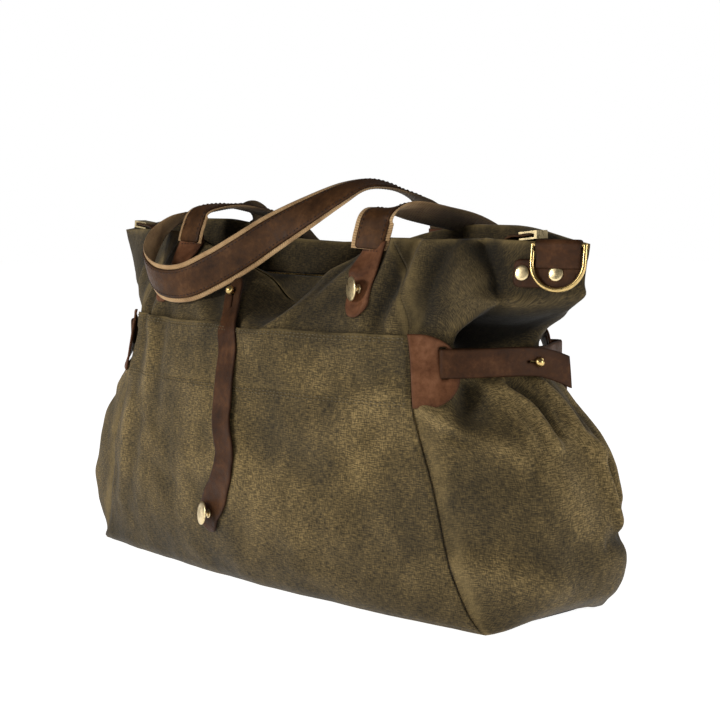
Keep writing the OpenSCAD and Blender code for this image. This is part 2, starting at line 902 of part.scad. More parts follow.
// Leather that wraps the bar of the ring and widens into the riveted base.
module ring_tab() {
    difference() {
        union() {
            translate([-loop_w / 2, 0, 0])
            rotate([0, 90, 0])
            cylinder(h = loop_w, r = loop_r + loop_t);
            translate([-loop_w / 2, plate_y, base_z])
            cube([loop_w, loop_t, -base_z]);
            translate([base_x - base_w / 2, plate_y, base_z - base_h / 2])
            cube([base_w, loop_t, base_h]);
        }
        translate([-loop_w, 0, 0])
        rotate([0, 90, 0])
        cylinder(h = 2 * loop_w, r = loop_r);
    }
}

module ring_rivets() {
    for (x = rivet_x)
        translate([x, plate_y, base_z])
        rotate([90, 0, 0]) {
            cylinder(h = 1.2, r = rivet_r);
            translate([0, 0, -loop_t])
            cylinder(h = loop_t + 1, r = 1.6);
        }
}

module right_ring_tab() {
    color(leather_col)
    at_ring(true) ring_tab();
}

module left_ring_tab() {
    color(leather_col)
    at_ring(false) ring_tab();
}

module right_ring_rivets() {
    color(brass_col)
    at_ring(true) ring_rivets();
}

module left_ring_rivets() {
    color(brass_col)
    at_ring(false) ring_rivets();
}

module right_d_ring() {
    color(brass_col)
    at_ring(true) d_ring();
}

module left_d_ring() {
    color(brass_col)
    at_ring(false) d_ring();
}

// ---------- Nodes ----------

front_panel();
back_panel();
left_gusset();
right_gusset();
base_panel();
base_board();
lining_floor();
lining();
front_pocket();
front_facing();
back_facing();
front_zip_tape();
back_zip_tape();
front_zip_teeth();
back_zip_teeth();
zip_slider();
zip_pull();
left_zip_tail();
right_zip_tail();
left_zip_clip();
right_zip_clip();
front_left_tab();
front_right_tab();
back_left_tab();
back_right_tab();
front_tab_studs();
back_tab_studs();
front_handle_ends();
front_handle_end_leathers();
front_handle_webbing();
front_handle_leather();
back_handle_webbing();
back_handle_leather();
centre_strap_end();
centre_strap();
centre_flat_stud();
centre_ball_stud();
left_front_patch();
left_back_patch();
right_front_patch();
right_back_patch();
left_side_strap();
right_side_strap();
left_side_strap_end();
right_side_strap_end();
left_side_stud();
right_side_stud();
left_ring_tab();
right_ring_tab();
left_ring_rivets();
right_ring_rivets();
left_d_ring();
right_d_ring();
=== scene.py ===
"""A soft waxed-canvas holdall with leather trim and brass fittings, dressed on its CAD frame."""
import math

import bpy
import numpy as np
from mathutils import Matrix, Vector, noise


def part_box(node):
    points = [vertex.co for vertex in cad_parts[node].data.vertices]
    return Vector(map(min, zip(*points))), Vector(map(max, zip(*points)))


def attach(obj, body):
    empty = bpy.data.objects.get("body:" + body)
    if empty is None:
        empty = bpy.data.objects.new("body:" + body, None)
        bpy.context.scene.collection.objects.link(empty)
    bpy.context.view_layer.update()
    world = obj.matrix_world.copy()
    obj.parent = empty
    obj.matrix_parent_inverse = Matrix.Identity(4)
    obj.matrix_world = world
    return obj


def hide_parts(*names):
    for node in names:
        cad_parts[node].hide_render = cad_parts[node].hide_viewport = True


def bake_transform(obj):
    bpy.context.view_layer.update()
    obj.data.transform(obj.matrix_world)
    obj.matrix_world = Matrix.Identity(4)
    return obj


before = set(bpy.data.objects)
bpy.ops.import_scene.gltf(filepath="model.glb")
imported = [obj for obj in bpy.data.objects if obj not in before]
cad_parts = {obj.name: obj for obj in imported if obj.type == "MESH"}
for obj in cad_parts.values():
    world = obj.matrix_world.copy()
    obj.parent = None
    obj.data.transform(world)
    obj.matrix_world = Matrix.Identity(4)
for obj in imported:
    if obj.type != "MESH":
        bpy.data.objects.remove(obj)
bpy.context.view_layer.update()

MM = 0.001
SIDES = {-1: "left", 1: "right"}

# ---------- Shape of the bag ----------

# The same curves as in the CAD source, with slightly fuller ends near the floor.

HALF_LEN = 278 * MM
HALF_DEP = 84 * MM
BODY_H = 328 * MM
MOUTH_HALF = 40 * MM
MOUTH_LEAN = 26 * MM
ZIP_Y = -MOUTH_LEAN
ZIP_Z = 290 * MM


def curve(points, scale=1.0):
    """A smooth function through (place, value) pairs that never overshoots between them."""
    x, y = (np.array(c, float) for c in zip(*points))
    step = np.diff(x)
    slope = np.diff(y) / step
    tangent = np.zeros(len(x))
    same = slope[:-1] * slope[1:] > 0
    pair = slope[:-1][same], slope[1:][same]
    tangent[1:-1][same] = 2 * pair[0] * pair[1] / (pair[0] + pair[1])
    tangent[0], tangent[-1] = slope[0], slope[-1]

    def at(place):
        p = np.clip(place, x[0], x[-1])
        i = np.clip(np.searchsorted(x, p, side="right") - 1, 0, len(step) - 1)
        f = (p - x[i]) / step[i]
        a, b = tangent[i] * step[i], tangent[i + 1] * step[i]
        rise = y[i + 1] - y[i]
        return scale * (y[i] + f * (a + f * (3 * rise - 2 * a - b + f * (a + b - 2 * rise))))

    return at


seam_x = curve([(0, 1), (0.06, 0.935), (0.19, 0.875), (0.35, 0.83), (0.55, 0.745), (0.75, 0.70),
                (0.87, 0.645), (1, 0.55)], HALF_LEN)
seam_front = curve([(0, 1), (0.19, 1.10), (0.35, 1.15), (0.55, 1.14), (0.75, 1.08), (0.87, 0.98),
                    (1, (MOUTH_HALF + MOUTH_LEAN) / HALF_DEP)], HALF_DEP)
seam_back = curve([(0, 1), (0.19, 1.09), (0.35, 1.12), (0.55, 1.04), (0.75, 0.80), (0.87, 0.52),
                   (1, (MOUTH_HALF - MOUTH_LEAN) / HALF_DEP)], HALF_DEP)
bulge = curve([(0, 0.25), (0.1, 0.40), (0.24, 0.46), (0.45, 0.46), (0.6, 0.44), (0.75, 0.40),
               (0.85, 0.26), (0.95, 0.06), (1, 0)], HALF_DEP)
tip_x = curve([(0, 1.05), (0.07, 1.135), (0.15, 1.165), (0.30, 1.14), (0.48, 1.08), (0.58, 1.0),
               (0.65, 0.925), (0.70, 0.91), (0.76, 0.97), (0.81, 1.08), (0.87, 1.135), (0.91, 1.155),
               (1, 1.18)], HALF_LEN)
end_power = curve([(0, 3), (0.12, 5), (0.35, 4.6), (0.5, 3), (0.6, 1.64), (0.69, 1.52), (0.8, 1.36),
                   (0.9, 1.19), (1, 1)])
tip_y = curve([(0, 0), (0.6, 0), (1, -MOUTH_LEAN / HALF_DEP / 2)], HALF_DEP)
hem_front = curve([(0, 298), (40, 299), (75, 304), (112, 320), (150, 331), (190, 330), (230, 331),
                   (328, 328)], MM)
hem_back = curve([(0, 322), (70, 324), (120, 334), (180, 342), (230, 342), (328, 328)], MM)


def stack(*columns):
    """Coordinates side by side, as an array of points."""
    return np.stack(np.broadcast_arrays(*columns), axis=-1)


def mix(a, b, f):
    return a + (b - a) * f


def unit(v):
    return v / (np.linalg.norm(v, axis=-1, keepdims=True) + 1e-12)


def run(points, axis=0):
    """Length gone along a line of points, or along each line of a grid."""
    step = np.linalg.norm(np.diff(points, axis=axis), axis=-1)
    start = np.zeros_like(np.take(step, [0], axis=axis))
    return np.concatenate([start, np.cumsum(step, axis=axis)], axis=axis)


def at_length(s, gone, values):
    """Vectors given at the lengths gone, read off at lengths s."""
    return stack(*[np.interp(s, gone, values[:, i]) for i in range(3)])


def mirrored(side):
    """Moves points of the right-hand end to the end of that side."""
    return lambda p: p * (side, 1, 1)


def smooth(low, high, value):
    f = np.clip((value - low) / (high - low), 0, 1)
    return f * f * (3 - 2 * f)


def wall_z(x, t, front):
    """Height of a wall's point at a share t of the way up. The rows bend to follow the hem."""
    hem = np.where(front, hem_front(np.abs(x) / MM), hem_back(np.abs(x) / MM))
    return t * BODY_H + (hem - BODY_H) * t ** 6


def front_wall(u, t):
    """Plain wall at u from -1 to 1 along it and t from 0 to 1 up it. back_wall is the same."""
    x = u * seam_x(t)
    return stack(x, -(seam_front(t) + bulge(t) * (1 - u * u)), wall_z(x, t, True))


def back_wall(u, t):
    x = u * seam_x(t)
    return stack(x, seam_back(t) + bulge(t) * (1 - u * u), wall_z(x, t, False))


def end_wall(side, v, t):
    """Plain end: v is -1 at the front seam, 0 at the tip and 1 at the back seam."""
    x = mix(seam_x(t), tip_x(t), 1 - np.abs(v) ** end_power(t))
    y = mix(tip_y(t), np.where(v < 0, -seam_front(t), seam_back(t)), np.abs(v))
    return stack(side * x, y, wall_z(x, t, v < 0))


POCKET_ROOM = 2.5 * MM


def front_body(u, t):
    """The front panel lies a little further in behind the pocket."""
    p = front_wall(u, t)
    behind = smooth(0.84, 0.70, t) * smooth(0.0, 0.05, t) * (1 - u ** 4)
    p[..., 1] += POCKET_ROOM * behind
    return p


def back_body(u, t):
    return back_wall(-u, t)


def right_end(v, t):
    return end_wall(1, v, t)


def left_end(v, t):
    return end_wall(-1, -v, t)


# The four walls once round the bag, all with their places running the same way.
ROUND = [front_body, right_end, back_body, left_end]


# ---------- Folds of the cloth ----------

# A stroke: start and end of a fold (across, height), its half width and its height, all in mm.
# Across is y on the ends and x on the front and the back. A negative height is a valley.
RIGHT_FOLDS = [
    ((-84, 182), (-56, 146), 9, 6), ((-54, 206), (-76, 164), 6, -9), ((-30, 205), (-16, 158), 7, 6),
    ((-42, 208), (-40, 160), 7, 3), ((-24, 206), (-6, 168), 5, -7), ((4, 208), (34, 150), 7, 6),
    ((20, 206), (36, 164), 6, -7), ((34, 162), (46, 80), 8, 5), ((60, 190), (70, 110), 9, 4),
    ((50, 175), (56, 100), 7, -5), ((66, 74), (20, 66), 9, -6), ((-60, 322), (-62, 250), 8, 8),
    ((-46, 332), (-49, 272), 6, -10), ((-44, 250), (-14, 256), 14, -30), ((-52, 275), (-2, 288), 7, 9),
    ((-78, 318), (-84, 262), 7, -4), ((-20, 322), (-14, 300), 9, 3), ((-86, 60), (-30, 40), 16, 3),
    ((-20, 120), (20, 60), 18, 3)]
LEFT_FOLDS = [
    ((-84, 186), (-56, 130), 10, 5), ((-52, 206), (-70, 150), 9, -7), ((-34, 205), (-24, 150), 8, 5),
    ((-12, 208), (-4, 150), 7, -5), ((6, 208), (28, 150), 8, 5), ((28, 204), (50, 150), 7, -5),
    ((56, 190), (70, 120), 9, 4), ((-60, 322), (-64, 250), 11, 5), ((-42, 330), (-46, 262), 8, -8),
    ((-46, 256), (10, 256), 10, -8), ((-50, 276), (0, 284), 9, 4), ((-60, 70), (-10, 60), 14, 3),
    ((-10, 110), (30, 70), 16, 2)]
FRONT_FOLDS = [
    ((116, 300), (44, 258), 9, 7), ((104, 318), (66, 262), 8, -7), ((-118, 296), (-60, 256), 11, 6),
    ((-36, 306), (8, 258), 9, 7), ((24, 300), (30, 262), 8, -6), ((-96, 306), (-40, 258), 9, -6),
    ((152, 326), (150, 256), 6, 5), ((172, 326), (168, 258), 7, -8), ((190, 320), (184, 258), 7, 8),
    ((207, 322), (202, 262), 6, -6), ((-140, 300), (-152, 180), 10, 4), ((-122, 250), (-128, 150), 12, -5),
    ((-165, 270), (-182, 170), 9, -4), ((-190, 150), (-216, 60), 12, 4), ((-160, 140), (-196, 50), 12, -3),
    ((178, 196), (120, 150), 12, 3), ((150, 205), (90, 178), 10, -3), ((196, 176), (150, 120), 14, 3),
    ((-60, 120), (60, 96), 20, 2), ((80, 60), (190, 80), 18, 2), ((-90, 90), (-200, 110), 14, -2),
    ((20, 170), (110, 120), 18, -2)]
# Some folds of the back are alike on its two halves.
BACK_PAIRS = [((118, 312), (50, 262), 12, 4), ((90, 318), (40, 280), 10, -5),
              ((170, 300), (176, 200), 10, 4), ((190, 180), (120, 130), 14, 3)]
BACK_FOLDS = [((0, 200), (20, 90), 22, 2), ((-80, 90), (60, 60), 20, 2), ((150, 110), (60, 60), 18, -2),
              ((-150, 100), (-210, 40), 14, 3)]
BACK_FOLDS += [((way * x0, z0), (way * x1, z1), half, height)
               for (x0, z0), (x1, z1), half, height in BACK_PAIRS for way in (1, -1)]
# The folds of the right-hand end are deeper than its table says, by this factor.
RIGHT_DEEPER = 1.75
# Rumples: height and size of the bumps, their seed, and how much of their height counts.
RUMPLES = [(3.2 * MM, 0.075, 4, 0.6), (1.5 * MM, 0.032, 5, 1), (0.5 * MM, 0.013, 6, 1)]
# Height of the side straps. The cloth is pulled tight under them.
STRAP_Z = 226 * MM
# Middles of the D-ring leathers: the cloth lies flat under them.
RING_MIDDLES = [(295 * MM, -31 * MM, 303 * MM), (-295 * MM, 6 * MM, 303 * MM)]
# The middle of the front hem sags into a V: where, how wide, how deep and from what height up.
SAG_X, SAG_WIDE, SAG_DEEP, SAG_FROM = 20 * MM, 31 * MM, 31 * MM, 236 * MM
# Rounding of the foot, and how far the middle of each end's foot stands off the floor.
FOOT_R = 9 * MM
FOOT_LIFT = 8 * MM
# Fold height at which the cloth's painted light on the ridges and painted shade in the valleys change
# most.
FOLD_FULL = 5 * MM


def fold_height(across, z, folds):
    """Sum of the strokes at points (across, height): each is a soft ridge that fades at its ends."""
    total = np.zeros(np.shape(z))
    for start, end, half, height in folds:
        a, b = np.array(start) * MM, np.array(end) * MM
        d = b - a
        s = ((across - a[0]) * d[0] + (z - a[1]) * d[1]) / (d @ d)
        near = np.clip(s, 0, 1)
        gap = np.hypot(across - a[0] - near * d[0], z - a[1] - near * d[1]) / (half * MM)
        total += height * MM * np.exp(-gap ** 2) * (1 - 0.45 * near)
    return total


def rumple(points, size, seed):
    """Smooth noise at points, about -1 to 1, with bumps of that size."""
    shift = Vector((seed * 7.3, seed * 3.1, seed * 5.7))
    found = [noise.noise(Vector(p) / size + shift) for p in points.reshape(-1, 3)]
    return np.array(found).reshape(points.shape[:-1])


def outward(p):
    """A level direction out of the bag, the same for every panel at one place."""
    x, y, z = np.moveaxis(p, -1, 0)
    t = np.clip(z / BODY_H, 0, 1)
    middle = (seam_back(t) - seam_front(t)) / 2
    half = (seam_back(t) + seam_front(t)) / 2 + bulge(t)
    long = tip_x(t)
    return unit(stack((x / long) ** 3 / long, ((y - middle) / half) ** 3 / half, 0 * t))


def strokes(p, out):
    """Height of the folds, each table on its own wall and fading round the corners."""
    side, face = out[..., 0], out[..., 1]
    q = p + 9 * MM * stack(*[rumple(p, 0.06, seed) for seed in (1, 2, 3)])
    x, y, z = np.moveaxis(q, -1, 0)
    return (RIGHT_DEEPER * smooth(0.1, 0.6, side) * fold_height(y, z, RIGHT_FOLDS)
            + smooth(0.1, 0.6, -side) * fold_height(y, z, LEFT_FOLDS)
            + smooth(0.5, 0.95, -face) * fold_height(x, z, FRONT_FOLDS)
            + smooth(0.5, 0.95, face) * fold_height(x, z, BACK_FOLDS))


def settle(points):
    """Moves points of the plain walls to where the soft cloth lies. Returns them and fold heights."""
    p, out = points.copy(), outward(points)
    side, face, z = out[..., 0], out[..., 1], points[..., 2]
    height = strokes(p, out)
    for tall, size, seed, share in RUMPLES:
        height += tall * rumple(p * (1, 1, share), size, seed)
    tight = smooth(0.1, 0.6, np.abs(side)) * np.exp(-((z - STRAP_Z) / (15 * MM)) ** 2)
    height = height * (1 - 0.8 * tight) - 2 * MM * tight
    for middle in RING_MIDDLES:
        calm = np.exp(-(np.linalg.norm(p - middle, axis=-1) / (38 * MM)) ** 4)
        height = height * (1 - 0.8 * calm) - 1.0 * MM * calm
    p += out * height[..., None]
    sag = np.exp(-((p[..., 0] - SAG_X) / SAG_WIDE) ** 2) * smooth(0.5, 0.95, -face)
    p[..., 2] -= SAG_DEEP * sag * smooth(SAG_FROM, 298 * MM, p[..., 2])
    low = np.clip((FOOT_R - p[..., 2]) / FOOT_R, 0, 1)
    p -= out * (FOOT_R * (1 - np.sqrt(1 - low ** 2)))[..., None]
    arch = np.abs(side) ** 4 * np.clip(1 - (p[..., 1] / HALF_DEP) ** 2, 0, 1)
    p[..., 2] += FOOT_LIFT * arch * np.exp(-p[..., 2] / (30 * MM))
    return p, height


# ---------- Meshes ----------

def add_piece(name, verts, faces, uv=None, layers=None):
    """A smooth-shaded mesh with its uv and its named values, one for each vertex."""
    mesh = bpy.data.meshes.new(name)
    mesh.from_pydata([tuple(v) for v in verts], [], faces)
    for key, values in (layers or {}).items():
        values = np.asarray(values, np.float32).ravel()
        mesh.attributes.new(key, "FLOAT", "POINT").data.foreach_set("value", values)
    if uv is not None:
        loops = np.zeros(len(mesh.loops), np.int32)
        mesh.loops.foreach_get("vertex_index", loops)
        mesh.uv_layers.new(name="UVMap").data.foreach_set("uv", np.asarray(uv)[loops].ravel())
    mesh.polygons.foreach_set("use_smooth", [True] * len(mesh.polygons))
    mesh.update()
    piece = bpy.data.objects.new(name, mesh)
    bpy.context.scene.collection.objects.link(piece)
    return piece


def grid_normals(p):
    """Unit normals of a grid of points, from its rows and columns."""
    return unit(np.cross(np.gradient(p, axis=1), np.gradient(p, axis=0)))


def grid_uv(p):
    """Lengths along the rows and up the columns of a grid, in metres, so a weave keeps its size."""
    u = run(p, 1)
    return stack(u - u[:, -1:] / 2, run(p, 0))


def skin(rows, cols):
    """Faces of a closed sheet between two grids of that size."""
    count = rows * cols
    index = np.arange(count).reshape(rows, cols)
    a, b, c, d = index[:-1, :-1], index[:-1, 1:], index[1:, 1:], index[1:, :-1]
    top = np.stack([a, b, c, d], -1).reshape(-1, 4)
    rim = np.concatenate([index[0, :], index[1:, -1], index[-1, -2::-1], index[-2:0:-1, 0]])
    after = np.roll(rim, -1)
    edge = np.stack([after, rim, rim + count, after + count], -1)
    return np.concatenate([top, top[:, ::-1] + count, edge]).tolist()


def sheet_piece(name, outer, inner, layers=None):
    """A closed sheet from its two faces, with its uv in metres and its layers on both faces."""
    flat = np.concatenate([outer.reshape(-1, 3), inner.reshape(-1, 3)])
    uv = grid_uv(outer).reshape(-1, 2)
    both = {k: np.concatenate([v.ravel(), v.ravel()]) for k, v in (layers or {}).items()}
    return add_piece(name, flat, skin(*outer.shape[:2]), np.concatenate([uv, uv]), both)


def spread(count, ends=0.5):
    """Places from -1 to 1, closer together towards both ends."""
    s = np.linspace(-1, 1, count)
    return (1 - ends) * s + ends * np.sin(s * math.pi / 2)


def dress(piece, body, slot_name, finish, *nodes):
    """The piece's finish, its body and the CAD nodes that it stands for. For a piece that bends, body is
    the moving body and the points where the bend starts and ends; these are not used, and the piece is
    only fixed where it stands."""
    piece.data.materials.append(finish)
    if isinstance(body, str):
        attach(piece, body)
    else:
        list(body)
        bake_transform(piece)
    if nodes:
        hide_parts(*nodes)


# ---------- Materials ----------

def material(name):
    made = bpy.data.materials.new(name)
    made.use_nodes = True
    return made, made.node_tree


def plug(tree, value, socket):
    """Sets a socket to a number or a colour, or links another socket to it."""
    if isinstance(value, (int, float)):
        socket.default_value = value
    elif isinstance(value, tuple):
        socket.default_value = (*value, 1)
    else:
        tree.links.new(value, socket)


def surface(tree, values):
    """Inputs of a material's shader, by name."""
    for name, value in values.items():
        plug(tree, value, tree.nodes["Principled BSDF"].inputs[name])


def node(tree, kind, **values):
    """A new node with its inputs and its settings."""
    made = tree.nodes.new(kind)
    for key, value in values.items():
        if key in made.inputs:
            plug(tree, value, made.inputs[key])
        else:
            setattr(made, key, value)
    return made


def noise_at(tree, where, scale, detail=4.0, rough=0.55, stretch=(1, 1, 1)):
    """Noise on coordinates in metres, stretched along its axes. Returns its value socket."""
    mapping = node(tree, "ShaderNodeMapping", Vector=where)
    mapping.inputs["Scale"].default_value = [s * scale for s in stretch]
    return node(tree, "ShaderNodeTexNoise", Vector=mapping.outputs["Vector"], Scale=1.0, Detail=detail,
                Roughness=rough).outputs["Fac"]


def ramp(tree, source, stops):
    """Colours at places from 0 to 1 along a value."""
    made = node(tree, "ShaderNodeValToRGB", Fac=source)
    band = made.color_ramp
    while len(band.elements) < len(stops):
        band.elements.new(0.5)
    for element, (place, colour) in zip(band.elements, stops):
        element.position = place
        element.color = (*colour, 1)
    return made.outputs["Color"]


def grey(value):
    return (value,) * 3


def threshold(low, high):
    """Stops of a ramp from black to white."""
    return [(low, grey(0)), (high, grey(1))]


def blend_colour(tree, factor, a, b, mode="MIX"):
    """Mixes two colour sockets or plain colours by a socket or a number."""
    made = node(tree, "ShaderNodeMix", data_type="RGBA", blend_type=mode)
    for i, value in ((0, factor), (6, a), (7, b)):
        plug(tree, value, made.inputs[i])
    return made.outputs[2]


def times_colour(tree, a, b):
    return blend_colour(tree, 1.0, a, b, "MULTIPLY")


def maths(tree, kind, a, b=0.0, clamp=False):
    made = node(tree, "ShaderNodeMath", operation=kind, use_clamp=clamp)
    for socket, value in zip(made.inputs, (a, b)):
        plug(tree, value, socket)
    return made.outputs[0]


def add(tree, a, b):
    return maths(tree, "ADD", a, b)


def times(tree, a, b):
    return maths(tree, "MULTIPLY", a, b)


def weighted(tree, a, share, b):
    """Mix of two values, of which the first has that share."""
    return add(tree, times(tree, a, share), times(tree, b, 1 - share))


def bump(tree, height, distance, strength=1.0, after=None):
    below = {} if after is None else {"Normal": after}
    made = node(tree, "ShaderNodeBump", Height=height, Strength=strength, Distance=distance, **below)
    return made.outputs["Normal"]


def uv_coords(tree):
    return node(tree, "ShaderNodeUVMap", uv_map="UVMap").outputs["UV"]


def object_coords(tree):
    return node(tree, "ShaderNodeTexCoord").outputs["Object"]


def axis(tree, vector, i):
    """One number of a vector: 0 is x, 1 is y and 2 is z."""
    return node(tree, "ShaderNodeSeparateXYZ", Vector=vector).outputs[i]


def layer(tree, name):
    return node(tree, "ShaderNodeAttribute", attribute_name=name).outputs["Fac"]


def sine(tree, value, length):
    """A wave from 0 to 1 along a value in metres."""
    return halved(tree, maths(tree, "SINE", times(tree, value, 2 * math.pi / length)))


def halved(tree, value):
    """Moves a value from between -1 and 1 to between 0 and 1."""
    return add(tree, times(tree, value, 0.5), 0.5)


def weave(tree, uv, pitch):
    """Height of a plain weave: threads that pass over and under each other."""
    waves = [maths(tree, "SINE", times(tree, axis(tree, uv, i), math.pi / pitch)) for i in (0, 1)]
    return halved(tree, times(tree, *waves))


def cloth_colour(tree, place, cloud, patchy, threads, dark, middle, worn):
    """Mottled cloth: painted shade in its fold valleys and painted light on their ridges, painted shade
    high up, darker near the floor and paler at edges.
    """
    fold = layer(tree, "fold")
    # Fold heights shift the tone: painted light on the ridges, painted shade in the valleys.
    tone = add(tree, weighted(tree, cloud, 0.45, patchy), times(tree, fold, 0.22))
    base = ramp(tree, tone, [(0.30, dark), (0.50, middle), (0.72, worn)])
    speck = ramp(tree, threads, [(0.34, grey(0.25)), (0.48, grey(0.88)), (0.60, (2.4, 2.35, 2.3))])
    colour = times_colour(tree, base, speck)
    # Painted shade in the fold valleys, darkest in the deepest ones.
    fold_shade = ramp(tree, add(tree, times(tree, fold, 0.2), 1.0),
                 [(0.25, grey(0.2)), (0.72, grey(0.9)), (0.85, grey(1.0))])
    colour = times_colour(tree, colour, fold_shade)
    height = axis(tree, place, 2)
    # Darker towards the bottom, below about 15 cm.
    low_darken = ramp(tree, add(tree, height, times(tree, cloud, 0.05)),
                [(0.03, grey(LOW_DARKEN)), (0.155, grey(1.0))])
    colour = times_colour(tree, colour, low_darken)
    # Painted shade: darker above about 25 cm.
    high_shade = ramp(tree, add(tree, height, times(tree, cloud, 0.03)),
                 [(0.235, grey(1.0)), (0.285, grey(HIGH_SHADE))])
    colour = times_colour(tree, colour, high_shade)
    rubbed = maths(tree, "MULTIPLY", layer(tree, "edge"), ramp(tree, patchy, threshold(0.3, 0.6)), True)
    return blend_colour(tree, times(tree, rubbed, 0.8), colour, tuple(1.7 * c for c in worn))


def canvas_material(name, dark, middle, worn, pitch=0.9 * MM):
    """Waxed canvas with an uneven weave. Worn is its colour where it is rubbed."""
    made, tree = material(name)
    uv, place = uv_coords(tree), object_coords(tree)
    cloud = noise_at(tree, place, 11, 4, 0.5)
    patchy = noise_at(tree, place, 42, 5, 0.55, (1, 1, 0.7))
    across = noise_at(tree, uv, THREAD_GRAIN, 2, 0.7, (0.16, 1, 1))
    upward = noise_at(tree, uv, THREAD_GRAIN, 2, 0.7, (1, 0.16, 1))
    threads = weighted(tree, across, 0.6, upward)
    colour = cloth_colour(tree, place, cloud, patchy, threads, dark, middle, worn)
    dull = ramp(tree, cloud, [(0.3, grey(0.74)), (0.7, grey(0.9))])
    rough = bump(tree, threads, 0.5 * MM, 0.5)
    woven = bump(tree, weave(tree, uv, pitch), 0.12 * MM, 0.6, rough)
    crumple = bump(tree, noise_at(tree, place, 130, 4, 0.6), 1.4 * MM, 0.45, woven)
    surface(tree, {"Base Color": colour, "Roughness": dull, "Normal": crumple, "Sheen Weight": 0.06,
                   "Sheen Roughness": 0.4, "Specular IOR Level": 0.28})
    return made


def leather_material(name, deep, middle, light, gloss=0.48):
    """Oiled leather: pull-up tones, fine grain, darker burnished edges and rubbed highlights."""
    made, tree = material(name)
    place = object_coords(tree)
    cloud = noise_at(tree, place, 38, 5, 0.6)
    fine = noise_at(tree, place, 240, 4, 0.6)
    colour = ramp(tree, weighted(tree, cloud, 0.7, fine), [(0.32, deep), (0.52, middle), (0.72, light)])
    burnish = times(tree, layer(tree, "edge"), 0.55)
    colour = blend_colour(tree, burnish, colour, tuple(0.45 * c for c in deep))
    cells = node(tree, "ShaderNodeTexVoronoi", Vector=place, Scale=1150.0, feature="DISTANCE_TO_EDGE")
    grain = bump(tree, ramp(tree, cells.outputs["Distance"], threshold(0.0, 0.25)), 0.10 * MM, 0.5)
    crease = bump(tree, noise_at(tree, place, 420, 6, 0.7), 0.25 * MM, 0.5, grain)
    dull = ramp(tree, fine, [(0.3, grey(gloss - 0.08)), (0.7, grey(gloss + 0.16))])
    surface(tree, {"Base Color": colour, "Roughness": dull, "Normal": crease, "Specular IOR Level": 0.12})
    return made


def webbing_material():
    """Ribbed cotton webbing, soiled in patches, with painted shade where it lies in the mouth."""
    made, tree = material("webbing")
    uv, place = uv_coords(tree), object_coords(tree)
    colour = ramp(tree, noise_at(tree, place, 45, 5, 0.6),
                  [(0.3, (0.26, 0.15, 0.062)), (0.5, (0.46, 0.285, 0.13)), (0.75, (0.60, 0.40, 0.20))])
    shade = ramp(tree, sine(tree, axis(tree, uv, 1), WEB_RIB), [(0, (0.55, 0.50, 0.45)), (0.6, grey(1))])
    colour = times_colour(tree, colour, shade)
    # Painted shade: darker towards the back, where the webbing lies in the mouth. One metre is added
    # because a ramp reads only from 0 to 1.
    mouth_shade = ramp(tree, add(tree, axis(tree, place, 1), 1.0), [(0.945, grey(1)), (0.985, (0.2, 0.19, 0.15))])
    colour = times_colour(tree, colour, mouth_shade)
    fuzz = bump(tree, noise_at(tree, uv, 1200, 3, 0.7), 0.3 * MM, 0.6)
    surface(tree, {"Base Color": colour, "Roughness": 0.86, "Normal": fuzz, "Sheen Weight": 0.12})
    return made


def tape_material():
    """Zip tape: a fine herringbone in a dark olive."""
    made, tree = material("zip_tape")
    bands = node(tree, "ShaderNodeTexWave", Vector=uv_coords(tree), Scale=420.0, Distortion=0.0,
                 bands_direction="DIAGONAL").outputs["Fac"]
    colour = ramp(tree, bands, [(0.2, (0.018, 0.016, 0.009)), (0.8, (0.05, 0.044, 0.026))])
    surface(tree, {"Base Color": colour, "Roughness": 0.85, "Normal": bump(tree, bands, 0.2 * MM, 0.6)})
    return made


def thread_material(name, colour):
    """Twisted sewing thread."""
    made, tree = material(name)
    fuzz = noise_at(tree, object_coords(tree), 900, 3)
    twisted = ramp(tree, fuzz, [(0.3, tuple(0.55 * c for c in colour)), (0.65, colour)])
    surface(tree, {"Base Color": twisted, "Roughness": 0.8, "Normal": bump(tree, fuzz, 0.2 * MM, 0.7)})
    return made


def brass_material(name, colour=(0.66, 0.47, 0.19), rough=0.26):
    """Aged brass: cloudy tarnish, fine scratches and a satin polish."""
    made, tree = material(name)
    place = object_coords(tree)
    tarnish = noise_at(tree, place, 150, 5, 0.65)
    scratch = noise_at(tree, place, 700, 3, 0.6, (1, 1, 6))
    cloudy = ramp(tree, tarnish, [(0.28, tuple(0.5 * c for c in colour)), (0.5, colour)])
    satin = ramp(tree, tarnish, [(0.3, grey(rough + 0.22)), (0.6, grey(rough - 0.05))])
    surface(tree, {"Base Color": cloudy, "Roughness": satin, "Metallic": 1.0,
                   "Normal": bump(tree, scratch, 0.05 * MM, 0.35)})
    return made


def board_material():
    """Dark stiffener sheet with a moulded stipple."""
    made, tree = material("stiffener")
    stipple = noise_at(tree, object_coords(tree), 600, 3)
    colour = ramp(tree, stipple, [(0.3, (0.010, 0.009, 0.008)), (0.7, (0.03, 0.028, 0.025))])
    surface(tree, {"Base Color": colour, "Roughness": 0.6, "Normal": bump(tree, stipple, 0.2 * MM, 0.6)})
    return made


WEB_RIB = 2.4 * MM
CANVAS_DARK, CANVAS_MID = (0.043, 0.0305, 0.0112), (0.078, 0.0545, 0.0200)
CANVAS_WORN = (0.140, 0.099, 0.039)
# How much darker the cloth is high up, which is painted shade, and down by the floor.
HIGH_SHADE, LOW_DARKEN = 0.42, 0.52
# Threads of the canvas: bumps of their noise to a metre, across them.
THREAD_GRAIN = 1050

